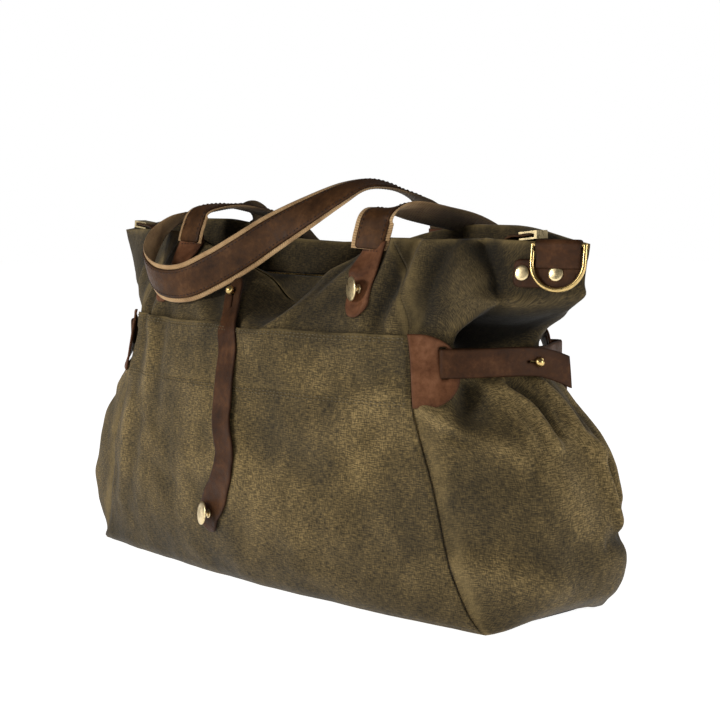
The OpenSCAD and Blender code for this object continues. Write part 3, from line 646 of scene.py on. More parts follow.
canvas = canvas_material("canvas", CANVAS_DARK, CANVAS_MID, CANVAS_WORN)
lining_cloth = canvas_material("lining_cloth", (0.16, 0.13, 0.085), (0.24, 0.20, 0.13),
                               (0.32, 0.27, 0.19), 0.6 * MM)
leather = leather_material("leather", (0.056, 0.020, 0.008), (0.148, 0.060, 0.027), (0.25, 0.112, 0.056))
strap_leather = leather_material("strap_leather", (0.020, 0.0078, 0.003), (0.054, 0.0215, 0.008),
                                 (0.125, 0.053, 0.021))
handle_leather = leather_material("handle_leather", (0.024, 0.0095, 0.003), (0.064, 0.027, 0.009),
                                  (0.15, 0.067, 0.025), 0.46)
webbing = webbing_material()
zip_tape = tape_material()
brass = brass_material("brass")
pale_brass = brass_material("pale_brass", (0.80, 0.64, 0.36), 0.30)
tan_thread = thread_material("tan_thread", (0.15, 0.115, 0.06))
dark_thread = thread_material("dark_thread", (0.030, 0.014, 0.009))
stiffener = board_material()

# ---------- Panels ----------

CANVAS_T = 1.8 * MM
FRONT_COLS, END_COLS, WALL_ROWS = 190, 110, 116
# Seams: depth and width of the crease that the stitching pulls in. Width of the turned hem.
CREASE = 1.6 * MM
CREASE_W = 3.0 * MM
HEM_W = 13 * MM
POCKET_TOP = 0.757
# The pocket's cloth, and how far below its hem its second line of stitches runs.
POCKET_T = 1.4 * MM
POCKET_LINE = 58 * MM


def up_places(count, low=0.0, high=1.0):
    """Shares of the height, closer together at the foot and at the hem."""
    return mix(low, high, (spread(count, 0.35) + 1) / 2)


def panel_grid(wall, across, t):
    """A settled panel: its outer points, its fold height and how near a point is to an edge."""
    a, b = np.meshgrid(across, t)
    p, fold = settle(wall(a, b))
    to_seam = (1 - np.abs(a)) * np.linalg.norm(p[:, -1:] - p[:, :1], axis=2) / 2
    to_hem = (1 - b) * BODY_H
    dip = CREASE * np.exp(-(to_seam / CREASE_W) ** 2) * smooth(0, 0.03, b)
    roll = 0.5 * MM * smooth(HEM_W + 1.5 * MM, HEM_W - 1.5 * MM, to_hem)
    p = p + outward(p) * (roll - dip)[..., None]
    edge = 1.2 * np.exp(-to_hem / (2.4 * MM)) + 0.6 * np.exp(-((to_seam - 3 * MM) / (2.5 * MM)) ** 2)
    return p, fold, np.clip(edge, 0, 1)


def panel_piece(name, wall, columns):
    p, fold, edge = panel_grid(wall, spread(columns), up_places(WALL_ROWS))
    piece = sheet_piece(name + "_cloth", p, p - grid_normals(p) * CANVAS_T,
                        {"fold": fold / FOLD_FULL, "edge": edge})
    dress(piece, "shell", "canvas", canvas, name)


def make_panels():
    panel_piece("front_panel", front_body, FRONT_COLS)
    panel_piece("back_panel", back_body, FRONT_COLS)
    panel_piece("right_gusset", right_end, END_COLS)
    panel_piece("left_gusset", left_end, END_COLS)


def base_outline():
    """The foot of the settled walls, once round."""
    across = [spread(count)[:-1] for count in (120, 60, 120, 60)]
    walls = [wall(place, np.zeros_like(place)) for wall, place in zip(ROUND, across)]
    return settle(np.concatenate(walls))[0]


def inside(rim, rings):
    """A round grid from a closed rim to its middle."""
    middle = rim.mean(axis=0) * (1, 1, 0)
    shares = np.linspace(1, 0.02, rings)[:, None, None]
    return middle + (rim - middle)[None] * shares, shares[..., 0]


def closed(grid):
    """The grid with its first column again after its last."""
    return np.concatenate([grid, grid[:, :1]], axis=1)


def no_layers(grid):
    none = np.zeros(grid.shape[:2])
    return {"fold": none, "edge": none}


def make_base():
    rim = base_outline()
    outer, shares = inside(rim, 24)
    outer[..., 2] = np.maximum(rim[None, :, 2] * shares ** 3, 0)
    outer = closed(outer)[:, ::-1]
    piece = sheet_piece("base_cloth", outer, outer + (0, 0, CANVAS_T), no_layers(outer))
    dress(piece, "shell", "canvas", canvas, "base_panel")


def make_pocket():
    """The slip pocket. Returns its outer points and how far each row is below the hem."""
    a, b = np.meshgrid(spread(FRONT_COLS), up_places(88, 0.012, POCKET_TOP))
    b = b * (1 + 0.03 * smooth(0.7, 0.2, np.abs(a)) * (b / POCKET_TOP) ** 4)
    p, fold = settle(front_wall(a, b))
    to_hem = (b[-1:] - b) * BODY_H
    proud = mix(0.6 * MM, 2.0 * MM, smooth(1, 0.975, np.abs(a))) * smooth(0.012, 0.04, b)
    proud = proud + 0.7 * MM * smooth(16 * MM, 14 * MM, to_hem)
    line = np.exp(-((to_hem - POCKET_LINE) / (1.6 * MM)) ** 2)
    proud = proud - 0.6 * MM * line
    wave = 1.6 * MM * rumple(p, 0.07, 9) * smooth(30 * MM, 0, to_hem)
    p = p + outward(p) * (proud + np.abs(wave))[..., None]
    edge = np.exp(-to_hem / (2.4 * MM)) + 0.35 * line
    piece = sheet_piece("front_pocket_cloth", p, p - grid_normals(p) * POCKET_T,
                        {"fold": fold / FOLD_FULL, "edge": np.clip(edge, 0, 1)})
    dress(piece, "shell", "canvas", canvas, "front_pocket")
    return p, to_hem[:, 0]


# ---------- Lining, facings and zip ----------

LINING_GAP = 4.5 * MM
LINING_T = 0.7 * MM
LINING_TOP = 0.93
# The lining's floor: its height, and its outline as shares of the bag's foot.
FLOOR_Z, FLOOR_SHARE = 7.6 * MM, (0.955, 0.9, 0)
FACING_T = 1.2 * MM
HEM_IN = 2.4 * MM
FACING_END = 318 * MM
# Half widths of the zip's opening beside the tapes and beside a parked slider.
CREASE_HALF = 23 * MM
SLIDER_HALF = 13 * MM
# Where the rows of teeth end, where the facings have closed over the zip and where they have risen
# to the hem, and the y of the seam between them at the wings' tips.
ROW_HALF = 194 * MM
RECESS_END = 212 * MM
FACING_UP = 262 * MM
TIP_SEAM_Y = -17 * MM


def ring_walls(t):
    """The settled walls once round at each height, as one grid."""
    across = [spread(count, 0.3)[:-1] for count in (110, 56, 110, 56)]
    walls = [wall(*np.meshgrid(place, t)) for wall, place in zip(ROUND, across)]
    return settle(closed(np.concatenate(walls, axis=1)))


def make_lining():
    p, fold = ring_walls(up_places(54, 0.02, LINING_TOP))
    out = outward(p)
    slack = 1.2 * MM * rumple(p, 0.045, 12)
    inner = p - out * (LINING_GAP + np.abs(slack) + LINING_T)[..., None]
    piece = sheet_piece("lining_cloth", inner + out * LINING_T, inner,
                        {"fold": fold / FOLD_FULL, "edge": 0 * fold})
    dress(piece, "shell", "lining_cloth", lining_cloth, "lining")


def make_lining_floor():
    grid, _ = inside(base_outline() * FLOOR_SHARE, 30)
    grid[..., 2] = FLOOR_Z + 1.2 * MM * np.abs(rumple(grid * (1, 1, 0), 0.05, 14))
    grid = closed(grid)
    piece = sheet_piece("lining_floor_cloth", grid + (0, 0, LINING_T), grid, no_layers(grid))
    dress(piece, "shell", "lining_cloth", lining_cloth, "lining_floor")


def hem_points(x, front):
    """Settled hem at places along the bag, from one wing tip to the other."""
    far = seam_x(1.0)
    u = np.clip(x / far, -1, 1)
    middle = (front_wall if front else back_wall)(u, np.ones_like(u))
    v = np.clip((tip_x(1.0) - np.abs(x)) / (tip_x(1.0) - far), 0, 1) * (-1 if front else 1)
    wing = end_wall(1, v, np.ones_like(v))
    wing[:, 0] *= np.sign(x)
    return settle(np.where(np.abs(x)[:, None] < far, middle, wing))[0]


def make_facing(front):
    """Cloth turned in from a hem down to the edge of its zip tape."""
    x = np.linspace(-FACING_END, FACING_END, 170)
    hem = hem_points(x, front)
    hem = hem - outward(hem) * HEM_IN - (0, 0, 1.2 * MM)
    side = -1 if front else 1
    far = np.abs(x)
    half = mix(CREASE_HALF, SLIDER_HALF, smooth(ROW_HALF, ROW_HALF + 8 * MM, far))
    half = half * smooth(RECESS_END + 16 * MM, RECESS_END, far)
    wing_middle = mix(ZIP_Y, TIP_SEAM_Y, smooth(RECESS_END, FACING_END, far))
    crease_y = wing_middle + side * (half + 0.4 * MM)
    crease_y = np.where(side * (hem[:, 1] - crease_y) > 0.5 * MM, crease_y, hem[:, 1] - side * 0.5 * MM)
    crease_z = mix(ZIP_Z + 0.6 * MM, hem[:, 2] - 5 * MM, smooth(RECESS_END, FACING_UP, far))
    s = np.linspace(0, 1, 16)[:, None]
    y = mix(hem[:, 1], crease_y, s ** 1.15)
    z = mix(hem[:, 2], crease_z, smooth(0, 1, s) * 0.6 + 0.4 * s)
    grid = stack(x[None] + 0 * s, y, z)
    wave = 2.2 * MM * rumple(grid, 0.05, 15 + side) * np.sin(s * math.pi)
    grid[..., 1] += wave
    edge = np.exp(-s * 12) * np.ones_like(y)
    layers = {"fold": wave / FOLD_FULL, "edge": edge}
    grid = grid[:, ::-1] if front else grid
    layers = {k: v[:, ::-1] if front else v for k, v in layers.items()}
    name = "front_facing" if front else "back_facing"
    piece = sheet_piece(name + "_cloth", grid, grid - grid_normals(grid) * FACING_T, layers)
    dress(piece, "shell", "canvas", canvas, name)


def make_tape(front):
    side = -1 if front else 1
    name = "front_zip_tape" if front else "back_zip_tape"
    low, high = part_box(name)
    x = np.linspace(low.x, high.x, 160)
    y = np.linspace(4.9 * MM, CREASE_HALF - 0.5 * MM, 12)
    top = stack(*np.meshgrid(side * x, ZIP_Y + side * y), np.full((12, 160), ZIP_Z + 0.5 * MM))
    piece = sheet_piece(name + "_cloth", top, top - (0, 0, 1.0 * MM))
    dress(piece, "front_zip_flap" if front else "back_zip_flap", "zip_tape", zip_tape, name)


# ---------- Ribbons and cut leather ----------

def spline(keys, steps=10):
    """Points of a smooth line through keys, each a list of numbers."""
    k = np.array(keys, float)
    last = len(k) - 1
    f = (np.arange(steps) / steps)[:, None]
    made = []
    for i in range(last):
        a, b, c, e = k[max(i - 1, 0)], k[i], k[i + 1], k[min(i + 2, last)]
        made.append(0.5 * (2 * b + (c - a) * f + (2 * a - 5 * b + 4 * c - e) * f ** 2
                           + (3 * b - a - 3 * c + e) * f ** 3))
    return np.concatenate(made + [k[-1:]])


def ribbon(keys, move=lambda p: p):
    """A band along keys [x, y, z, across x, y, z] in mm. Returns its length and a function that
    places points given by distances across it, along it and out of it, in metres."""
    k = spline(keys)
    centre = move(k[:, :3] * MM)
    across = move((k[:, :3] + k[:, 3:]) * MM) - centre
    gone = run(centre)
    along = np.gradient(centre, gone, axis=0)

    def place(w, s, h):
        tangent = unit(at_length(s, gone, along))
        wide = at_length(s, gone, across)
        wide = unit(wide - tangent * (wide * tangent).sum(-1, keepdims=True))
        past = (s - np.clip(s, 0, gone[-1]))[..., None]
        return (at_length(s, gone, centre) + tangent * past + wide * w[..., None]
                + np.cross(tangent, wide) * h[..., None])

    return gone[-1], place


def box_distance(x, y, cx, cy, half_w, half_h, r=0.0):
    """Signed distance to a rectangle with round corners, below zero inside."""
    dx, dy = np.abs(x - cx) - half_w + r, np.abs(y - cy) - half_h + r
    return np.hypot(np.maximum(dx, 0), np.maximum(dy, 0)) + np.minimum(np.maximum(dx, dy), 0) - r


def keyhole(x, y, cx, cy, r, slit, slit_w):
    """Signed distance to a round hole with a slit down from it, or up where slit is negative."""
    hole = np.hypot(x - cx, y - cy) - r
    line = box_distance(x, y, cx, cy - slit / 2, slit_w / 2, abs(slit) / 2)
    return np.minimum(hole, line)


def cut(shape, low, high, cell):
    """Cells of a flat grid inside a shape, with the rim moved onto its outline."""
    nx, ny = [int(round((h - l) / cell)) + 1 for l, h in zip(low, high)]
    x, y = np.meshgrid(np.linspace(low[0], high[0], nx), np.linspace(low[1], high[1], ny))
    index = np.arange(nx * ny).reshape(ny, nx)
    quads = np.stack([index[:-1, :-1], index[:-1, 1:], index[1:, 1:], index[1:, :-1]], -1)
    quads = quads.reshape(-1, 4)
    p = stack(x.ravel(), y.ravel())
    middle = p[quads].mean(axis=1)
    quads = quads[shape(middle[:, 0], middle[:, 1]) < 0]
    used, quads = np.unique(quads, return_inverse=True)
    quads, p = quads.reshape(-1, 4), p[used]
    edges = np.concatenate([quads[:, [i, (i + 1) % 4]] for i in range(4)])
    seen = set(map(tuple, edges.tolist()))
    rim = [e for e in edges.tolist() if (e[1], e[0]) not in seen]
    on_rim = np.unique(np.array(rim))
    tiny = 0.02 * MM
    for _ in range(4):
        q = p[on_rim]
        d = shape(q[:, 0], q[:, 1])
        g = stack(shape(q[:, 0] + tiny, q[:, 1]) - d, shape(q[:, 0], q[:, 1] + tiny) - d) / tiny
        p[on_rim] = q - g * (d / np.maximum((g ** 2).sum(1), 0.3))[:, None]
    return p, quads, rim


def hide_mesh(name, shape, low, high, thick, place, cell=1.2 * MM, round_edge=0.35):
    """A piece of leather cut to a shape and laid by place(x, y, out of the surface)."""
    p, quads, rim = cut(shape, low, high, cell)
    gap = np.minimum(shape(p[:, 0], p[:, 1]), 0)
    top = place(p[:, 0], p[:, 1], thick * (1 - round_edge * np.exp(gap / (0.8 * MM))))
    base = place(p[:, 0], p[:, 1], 0 * gap)
    count = len(p)
    faces = quads.tolist() + (quads[:, ::-1] + count).tolist()
    faces += [[b, a, a + count, b + count] for a, b in rim]
    edge = np.exp(gap / (1.1 * MM))
    return add_piece(name, np.concatenate([top, base]), faces, np.concatenate([p, p]),
                     {"edge": np.concatenate([edge, edge])})


STITCH_SIDES = 5


def stitch_verts(a, b, out, thick):
    """One stitch from a to b: a plump thread that dips into the work at both ends."""
    side = np.cross(unit(b - a), out)
    turns = np.arange(STITCH_SIDES) * 2 * math.pi / STITCH_SIDES
    rings = []
    for f in (0.22, 0.78):
        c = a + (b - a) * f + out * thick * 0.35
        rings += [c + thick * 0.45 * (math.cos(t) * side + math.sin(t) * out) for t in turns]
    return [a - out * thick * 0.3] + rings + [b - out * thick * 0.3]


def stitch_piece(name, rows, pitch=4.2 * MM, length=3.0 * MM, thick=0.8 * MM):
    """Rows of stitches. A row is its points and the outward directions there."""
    verts, faces = [], []
    n = STITCH_SIDES
    for points, outs in rows:
        gone = run(points)
        for s in np.arange(pitch / 2, gone[-1] - pitch, pitch):
            a, b = at_length(s, gone, points), at_length(s + length, gone, points)
            first = len(verts)
            verts += stitch_verts(a, b, unit(at_length(s, gone, outs)), thick)
            for i in range(n):
                j, k = first + 1 + i, first + 1 + (i + 1) % n
                faces += [[first, k, j], [j, k, k + n, j + n], [first + 1 + 2 * n, j + n, k + n]]
    return add_piece(name, verts, faces)


def stitch_line(lay, x, y, thick):
    """A row for stitch_piece, on top of leather laid by lay(x, y, out of the surface)."""
    line = lay(x, y, np.full(len(x), thick))
    return line, lay(x, y, np.full(len(x), thick + MM)) - line


# ---------- Handles ----------

WEB_W, WEB_T = 38 * MM, 2.4 * MM
GRIP_W, GRIP_T = 29 * MM, 1.7 * MM
# Centre lines of the handles and the way across them: x, y, z in mm, then a direction.
FRONT_HANDLE = [
    (130, -75, 320, -0.95, -0.28, 0), (130, -71, 335, -0.94, -0.32, 0), (131, -63, 350, -0.94, -0.3, 0),
    (140, -42, 354, -0.93, -0.2, -0.25), (158, -10, 347, -0.92, 0, -0.36), (172, 13, 340, -0.95, 0, -0.3),
    (180, 34, 330, -0.98, 0.1, -0.1), (176, 54, 315, -0.9, -0.3, 0.3), (155, 71, 297, -0.6, -0.55, 0.55),
    (115, 78, 289, -0.1, -0.7, 0.7), (60, 81, 286, 0, -0.7, 0.7), (0, 81, 286, 0, -0.7, 0.7),
    (-45, 77, 290, 0.4, -0.6, 0.6), (-76, 62, 302, 0.8, -0.4, 0.4), (-87, 44, 318, 0.97, -0.15, 0.15),
    (-88, 27, 333, 1, 0, 0), (-87, 12, 340, 1, 0, 0), (-96, -14, 350, 1, 0, 0), (-112, -40, 355, 1, 0, 0),
    (-127, -62, 350, 1, 0, 0), (-129, -71, 335, 1, 0, 0), (-130, -75, 320, 1, 0, 0)]
BACK_HANDLE = [
    (130, 19, 330, 1, 0, 0), (130, 16, 346, 1, 0, 0), (122, 4, 356, 0.97, -0.2, 0.1),
    (112, -7, 366, 0.85, -0.5, 0), (96, -18, 374, 0.75, -0.7, -0.1), (78, -30, 376, 0.7, -0.75, -0.3),
    (58, -44, 367, 0.68, -0.55, -0.6), (31, -60, 351, 0.6, -0.3, -0.78), (0, -77, 332, 0.48, 0.0, -0.87),
    (-24, -93, 314, 0.43, 0.2, -0.88), (-50, -106, 298, 0.42, 0.28, -0.86),
    (-82, -118, 284, 0.25, 0.3, -0.9), (-117, -121, 284, 0, 0.3, -0.95),
    (-149, -112, 297, -0.2, 0.4, -0.9), (-170, -91, 316, -0.45, 0.5, -0.7),
    (-176, -66, 335, -0.7, 0.5, -0.4), (-172, -38, 346, -0.85, 0.4, -0.2),
    (-161, -13, 352, -0.93, 0.3, -0.1), (-146, 5, 354, -1, 0.15, 0), (-133, 14, 347, -1, 0, 0),
    (-130, 19, 330, -1, 0, 0)]
# The moving body of each handle, and where its ends stop and start to turn with it.
FRONT_BEND = ("front_handle", (0, -0.074, 0), (0, -0.046, 0))
BACK_BEND = ("back_handle", (0, 0.022, 0), (0, 0.002, 0))


def make_webbing(name, length, place, bend, *nodes):
    """Webbing with ribs across it, rounded edges and a slight cup towards its leather."""
    w = spread(15, 0.6) * WEB_W / 2
    s = np.arange(0, length, WEB_RIB / 4)
    a, b = np.meshgrid(w, s)
    share = np.abs(a) / (WEB_W / 2)
    full = np.sqrt(np.clip(1 - share ** 6, 0.02, 1))
    cup = 1.1 * MM * share ** 4
    rib = 0.22 * MM * np.cos(2 * math.pi * b / WEB_RIB)
    top = place(a, b, cup + (WEB_T / 2 + rib) * full)
    base = place(a, b, cup - (WEB_T / 2 + rib) * full)
    dress(sheet_piece(name, top, base), bend, "webbing", webbing, *nodes)


def make_grip(name, length, place, bend, *nodes):
    """Leather sewn on the webbing, with a row of stitches along each edge."""
    half = length / 2

    def shape(x, y):
        return box_distance(x, y, 0, half, GRIP_W / 2, half, 3 * MM)

    def lay(x, y, h):
        crown = 0.5 * MM * (1 - (x / (GRIP_W / 2)) ** 2)
        return place(x, y, WEB_T / 2 + 0.1 * MM + h + crown)

    piece = hide_mesh(name, shape, (-GRIP_W / 2, 0), (GRIP_W / 2, length), GRIP_T, lay, 1.45 * MM)
    dress(piece, bend, "handle_leather", handle_leather, *nodes)
    s = np.arange(6 * MM, length - 6 * MM, 1.5 * MM)
    rows = [stitch_line(lay, 0 * s + side * (GRIP_W / 2 - 3 * MM), s, GRIP_T) for side in (-1, 1)]
    dress(stitch_piece(name + "_stitching", rows), bend, "handle_leather", dark_thread)


def make_handles():
    line = ribbon(FRONT_HANDLE)
    make_webbing("front_handle_band", *line, FRONT_BEND, "front_handle_ends", "front_handle_webbing")
    make_grip("front_handle_grip", *line, FRONT_BEND, "front_handle_end_leathers",
              "front_handle_leather")
    line = ribbon(BACK_HANDLE)
    make_webbing("back_handle_band", *line, BACK_BEND, "back_handle_webbing")
    make_grip("back_handle_grip", *line, BACK_BEND, "back_handle_leather")


# ---------- Leather on the walls ----------

TAB_X, TAB_W, TAB_T = 130 * MM, 34 * MM, 2.2 * MM
# The tabs spread apart towards their low ends, by this much.
TAB_LEAN = 9 * MM
TAB_LOW, TAB_STUD_Z = 262 * MM, 286 * MM
# They taper: their low end is this much narrower than their top.
TAB_TAPER = 1.34


def wall_at(x, z, front):
    """Settled wall of the front or the back at places across and up it, and its outward direction."""
    hem = (hem_front if front else hem_back)(np.abs(x) / MM)
    t = z / BODY_H
    for _ in range(6):
        t = np.clip((z - (hem - BODY_H) * np.clip(t, 0, 1) ** 6) / BODY_H, 0, 1)
    u = np.clip(x / seam_x(t), -1, 1)
    p = settle((front_wall if front else back_wall)(u, t))[0]
    over = z - np.minimum(hem, z)
    return p + stack(0 * z, 0 * z, over), outward(p)


def make_tab(name, side, front):
    """A handle tab: round below, sewn across at the hem, lying on the cloth."""
    centre = side * TAB_X
    top = (hem_front if front else hem_back)(TAB_X / MM) + 1 * MM
    half = (top - TAB_LOW) / 2

    def shape(x, z):
        wide = x * mix(TAB_TAPER, 1.0, smooth(TAB_LOW, top, z))
        tall = half + 20 * MM
        round_low = box_distance(wide, z, 0, TAB_LOW + tall, TAB_W / 2, tall, TAB_W / 2.2)
        return np.maximum(round_low, z - top)

    def lay(x, z, h):
        across = (x if front else -x) + side * TAB_LEAN * smooth(top, TAB_LOW, z)
        p, out = wall_at(centre + across, z, front)
        lean = 3.2 * MM * smooth(TAB_LOW + 20 * MM, top, z)
        return p + out * (0.5 * MM + lean + h)[..., None]

    piece = hide_mesh(name + "_leather", shape, (-TAB_W / 2, TAB_LOW), (TAB_W / 2, top), TAB_T, lay)
    dress(piece, "shell", "leather", leather, name)
    w = np.linspace(-TAB_W / 2 + 3 * MM, TAB_W / 2 - 3 * MM, 20)
    rows = [stitch_line(lay, w, 0 * w + top - below * MM, TAB_T) for below in (4, 9)]
    dress(stitch_piece(name + "_stitching", rows), "shell", "leather", dark_thread)


STRAP_W, STRAP_T = 25 * MM, 2.4 * MM
# The centre strap's wavy line: places across the front by height, in mm.
strap_wave = curve([(46, -33), (72, -24), (98, -6), (119, 3), (133, 5), (149, 2), (167, -1), (187, 0),
                    (221, -2), (247, -10), (265, -17), (280, -24), (292, -28)], MM)
STRAP_LOW, STRAP_TOP = 52 * MM, 292 * MM
FLAT_STUD_Z, BALL_Z = 70 * MM, 280 * MM
# Above this height the strap leaves the cloth, and leans back that steeply to its ball stud.
STRAP_FREE, STRAP_BACK = 246 * MM, 0.62
# Its moving body, and the points between which it bends out from the pocket.
STRAP_BEND = ("centre_strap", (-6 * MM, -139 * MM, 80 * MM), (-6 * MM, -139 * MM, 102 * MM))
# The hole and slit in a strap that slip over a ball stud.
HOLE_R, SLIT_W = 2.6 * MM, 1.3 * MM


def strap_lay(x, z, h):
    """The centre strap lies on the pocket and stands off above its hem."""
    middle = strap_wave(z / MM)
    slope = (strap_wave(z / MM + 1) - middle) / MM
    p, out = wall_at(middle + 0 * x, z, True)
    flat, _ = wall_at(middle + 0 * x, np.minimum(z, STRAP_FREE), True)
    p[..., 1] = np.minimum(p[..., 1], flat[..., 1] + STRAP_BACK * np.maximum(z - STRAP_FREE, 0))
    curl = 0.9 * MM * (x / (STRAP_W / 2)) ** 2
    lift = 3.0 * MM + 1.2 * MM * np.sin(z / (21 * MM)) + h + curl
    return p + out * lift[..., None] + stack(x, 0 * x, -slope * x)


def make_centre_strap():
    def shape(x, z):
        whole = box_distance(x, z, 0, (STRAP_LOW + STRAP_TOP) / 2, STRAP_W / 2,
                             (STRAP_TOP - STRAP_LOW) / 2, STRAP_W / 2.1)
        return np.maximum(whole, -keyhole(x, z, 0, BALL_Z, HOLE_R, 13 * MM, SLIT_W))

    low, high = (-STRAP_W / 2, STRAP_LOW), (STRAP_W / 2, STRAP_TOP)
    piece = hide_mesh("centre_strap_leather", shape, low, high, STRAP_T, strap_lay, 0.9 * MM)
    dress(piece, STRAP_BEND, "leather", strap_leather, "centre_strap", "centre_strap_end")


# ---------- Turned brass ----------

def turned(cad_node, profile, places, finish, sides=36):
    """Round pieces from a profile of (radius, height) in mm. A place is a point and a direction."""
    verts, faces = [], []
    turns = np.arange(sides) * 2 * math.pi / sides
    for where, direction in places:
        turn = Vector(direction).normalized().to_track_quat("Z", "Y")
        first = len(verts)
        for r, h in profile:
            ring = [Vector((r * MM * math.cos(t), r * MM * math.sin(t), h * MM)) for t in turns]
            verts += [Vector(where) + turn @ q for q in ring]
        for i in range(len(profile) - 1):
            for j in range(sides):
                a, b = first + i * sides + j, first + i * sides + (j + 1) % sides
                faces.append([a, b, b + sides, a + sides])
        faces.append([first + j for j in range(sides)][::-1])
        faces.append([first + (len(profile) - 1) * sides + j for j in range(sides)])
    dress(add_piece(cad_node + "_turned", verts, faces), "shell", "brass", finish, cad_node)


# Profiles of a mushroom stud, a ball stud and a rivet cap.
FLAT_STUD = [(4.4, -1), (4.4, 0.5), (3.9, 0.9), (2.4, 1.0), (2.3, 5.2), (3.4, 5.6), (9.6, 5.7),
             (10.7, 6.1), (11, 6.7), (10.7, 7.3), (9.2, 7.7), (5, 8.1), (1, 8.25), (0.05, 8.25)]
BALL = [(6, -1.2), (6, 0.2), (5.6, 0.8), (2.6, 1.0), (2.3, 2.6)]
BALL += [(4.3 * math.sin(math.radians(a)), 6.2 - 4.3 * math.cos(math.radians(a)))
         for a in range(38, 180, 12)] + [(0.05, 10.5)]
RIVET = [(2, -2), (2, 0), (6.3, 0.1), (6.6, 0.5), (6.2, 1.1), (4.4, 1.5), (0.05, 1.7)]
STUD_YAW = math.radians(-19)


def stud_direction(yaw, pitch=0.0):
    """The way a stud points: forwards, turned to the right by yaw and up by pitch."""
    return math.sin(yaw) * math.cos(pitch), -math.cos(yaw) * math.cos(pitch), math.sin(pitch)


def make_studs():
    def on_strap(z, h):
        one = np.array([0.0])
        return strap_lay(one, np.array([z]), np.array([h]))[0]

    def on_tab(side, front):
        x = side * (TAB_X + TAB_LEAN * 0.6)
        p, out = wall_at(np.array([x]), np.array([TAB_STUD_Z]), front)
        return p[0] + out[0] * (TAB_T + 1.4 * MM)

    flat = (on_strap(FLAT_STUD_Z, STRAP_T), stud_direction(STUD_YAW, 0.12))
    ball = (on_strap(BALL_Z, -1 * MM), stud_direction(-0.25, 0.3))
    front = [(on_tab(side, True), stud_direction(STUD_YAW * 1.2, 0.05)) for side in (-1, 1)]
    back = [(on_tab(side, False), (0.1, 1, 0.05)) for side in (-1, 1)]
    turned("centre_flat_stud", FLAT_STUD, [flat], pale_brass)
    turned("centre_ball_stud", BALL, [ball], brass)
    turned("front_tab_studs", FLAT_STUD, front, pale_brass)
    turned("back_tab_studs", FLAT_STUD, back, pale_brass)


# ---------- Side straps and their patches ----------

PATCH_LOW, PATCH_HIGH, PATCH_REACH, PATCH_T = 188 * MM, 250 * MM, 38 * MM, 2.4 * MM
# A patch stands off its end by the first figure at the seam, and by one more at its far edge.
PATCH_OFF, PATCH_RISE_FRONT, PATCH_RISE_BACK = 3.5 * MM, 4.4 * MM, 4.6 * MM
PATCH_ROUND = 27 * MM
SLOT_AT = 26.5 * MM
# Centre lines of the straps of the right-hand end, in mm.
OVER_STRAP = [(220.2, -78.2, 225.5), (223.7, -79.8, 225.7), (228, -77, 226), (234.1, -71.7, 226),
              (247, -54.5, 226.5), (260.5, -31, 227), (269.5, -8, 226), (275, 5, 222.5),
              (279.5, 16, 218), (283, 27, 213)]
UNDER_STRAP = [(x, y, 226) for x, y in (
    (222.2, -78.4), (221.1, -76.5), (220.6, -74), (224, -70), (242.5, -49.5), (255.5, -26.5), (262.8, -3),
    (258, 18), (247, 37.5), (235.5, 60.7), (231.1, 64), (226.5, 64.1), (221.4, 59.3))]
SIDE_STUD = (269.5, -8, 226)
SIDE_STUD_YAW = math.radians(68)
# The stud's foot is behind the strap by this, and the strap's free end is cut off at a slant.
STUD_SUNK = 3.6 * MM
TAIL_CUT, TAIL_SLANT = 7 * MM, 0.55


def beside_seam(s, z, front):
    """Plain wall of the right-hand end, s along it from a seam and z high, and the way out."""
    t = z / BODY_H
    v = np.linspace(-1, 0, 41) if front else np.linspace(1, 0, 41)
    line = np.stack([end_wall(1, np.full_like(t, a), t) for a in v])
    gone = run(line)
    i = np.clip((gone < s[None]).sum(axis=0), 1, len(v) - 1)
    n = np.arange(len(t))
    f = (s - gone[i - 1, n]) / (gone[i, n] - gone[i - 1, n])
    p = mix(line[i - 1, n], line[i, n], f[:, None])
    return p, outward(p)


def make_patch(side, front):
    """A half-moon patch with its straight edge at the seam and a slot for the strap."""
    node_name = SIDES[side] + ("_front" if front else "_back") + "_patch"
    rise = PATCH_RISE_FRONT if front else PATCH_RISE_BACK
    middle, half = (PATCH_LOW + PATCH_HIGH) / 2, (PATCH_HIGH - PATCH_LOW) / 2

    def shape(x, z):
        moon = box_distance(x, z, 0, middle, PATCH_REACH, half, PATCH_ROUND)
        slot = box_distance(x, z, SLOT_AT, STRAP_Z, 2.6 * MM, 13.4 * MM, 1 * MM)
        return np.maximum(np.maximum(moon, 1 * MM - x), -slot)

    def lay(x, z, h):
        p, out = beside_seam(x, z, front)
        lift = PATCH_OFF + rise * smooth(0, PATCH_REACH, x) + h
        return mirrored(side)(p + out * lift[:, None])

    piece = hide_mesh(node_name + "_leather", shape, (0, PATCH_LOW), (PATCH_REACH, PATCH_HIGH), PATCH_T,
                      lay, 0.9 * MM)
    dress(piece, "shell", "leather", leather, node_name)


def strip_piece(name, keys, width, thick, move, cut_out=None, ends=3 * MM, cell=1.1 * MM):
    """A strip of leather along keys, with rounded ends and an opening cut out of it."""
    length, place = ribbon(keys, move)

    def shape(x, y):
        whole = box_distance(x, y, 0, length / 2, width / 2, length / 2, ends)
        return whole if cut_out is None else np.maximum(whole, -cut_out(x, y, place, length))

    def lay(x, y, h):
        return place(x, y, h - thick / 2)

    return hide_mesh(name, shape, (-width / 2, 0), (width / 2, length), thick, lay, cell)


def upright(keys, side):
    """Keys of a strap on edge round an end: its width is upright and its face looks out."""
    return [(x, y, z, 0, 0, side) for x, y, z in keys]


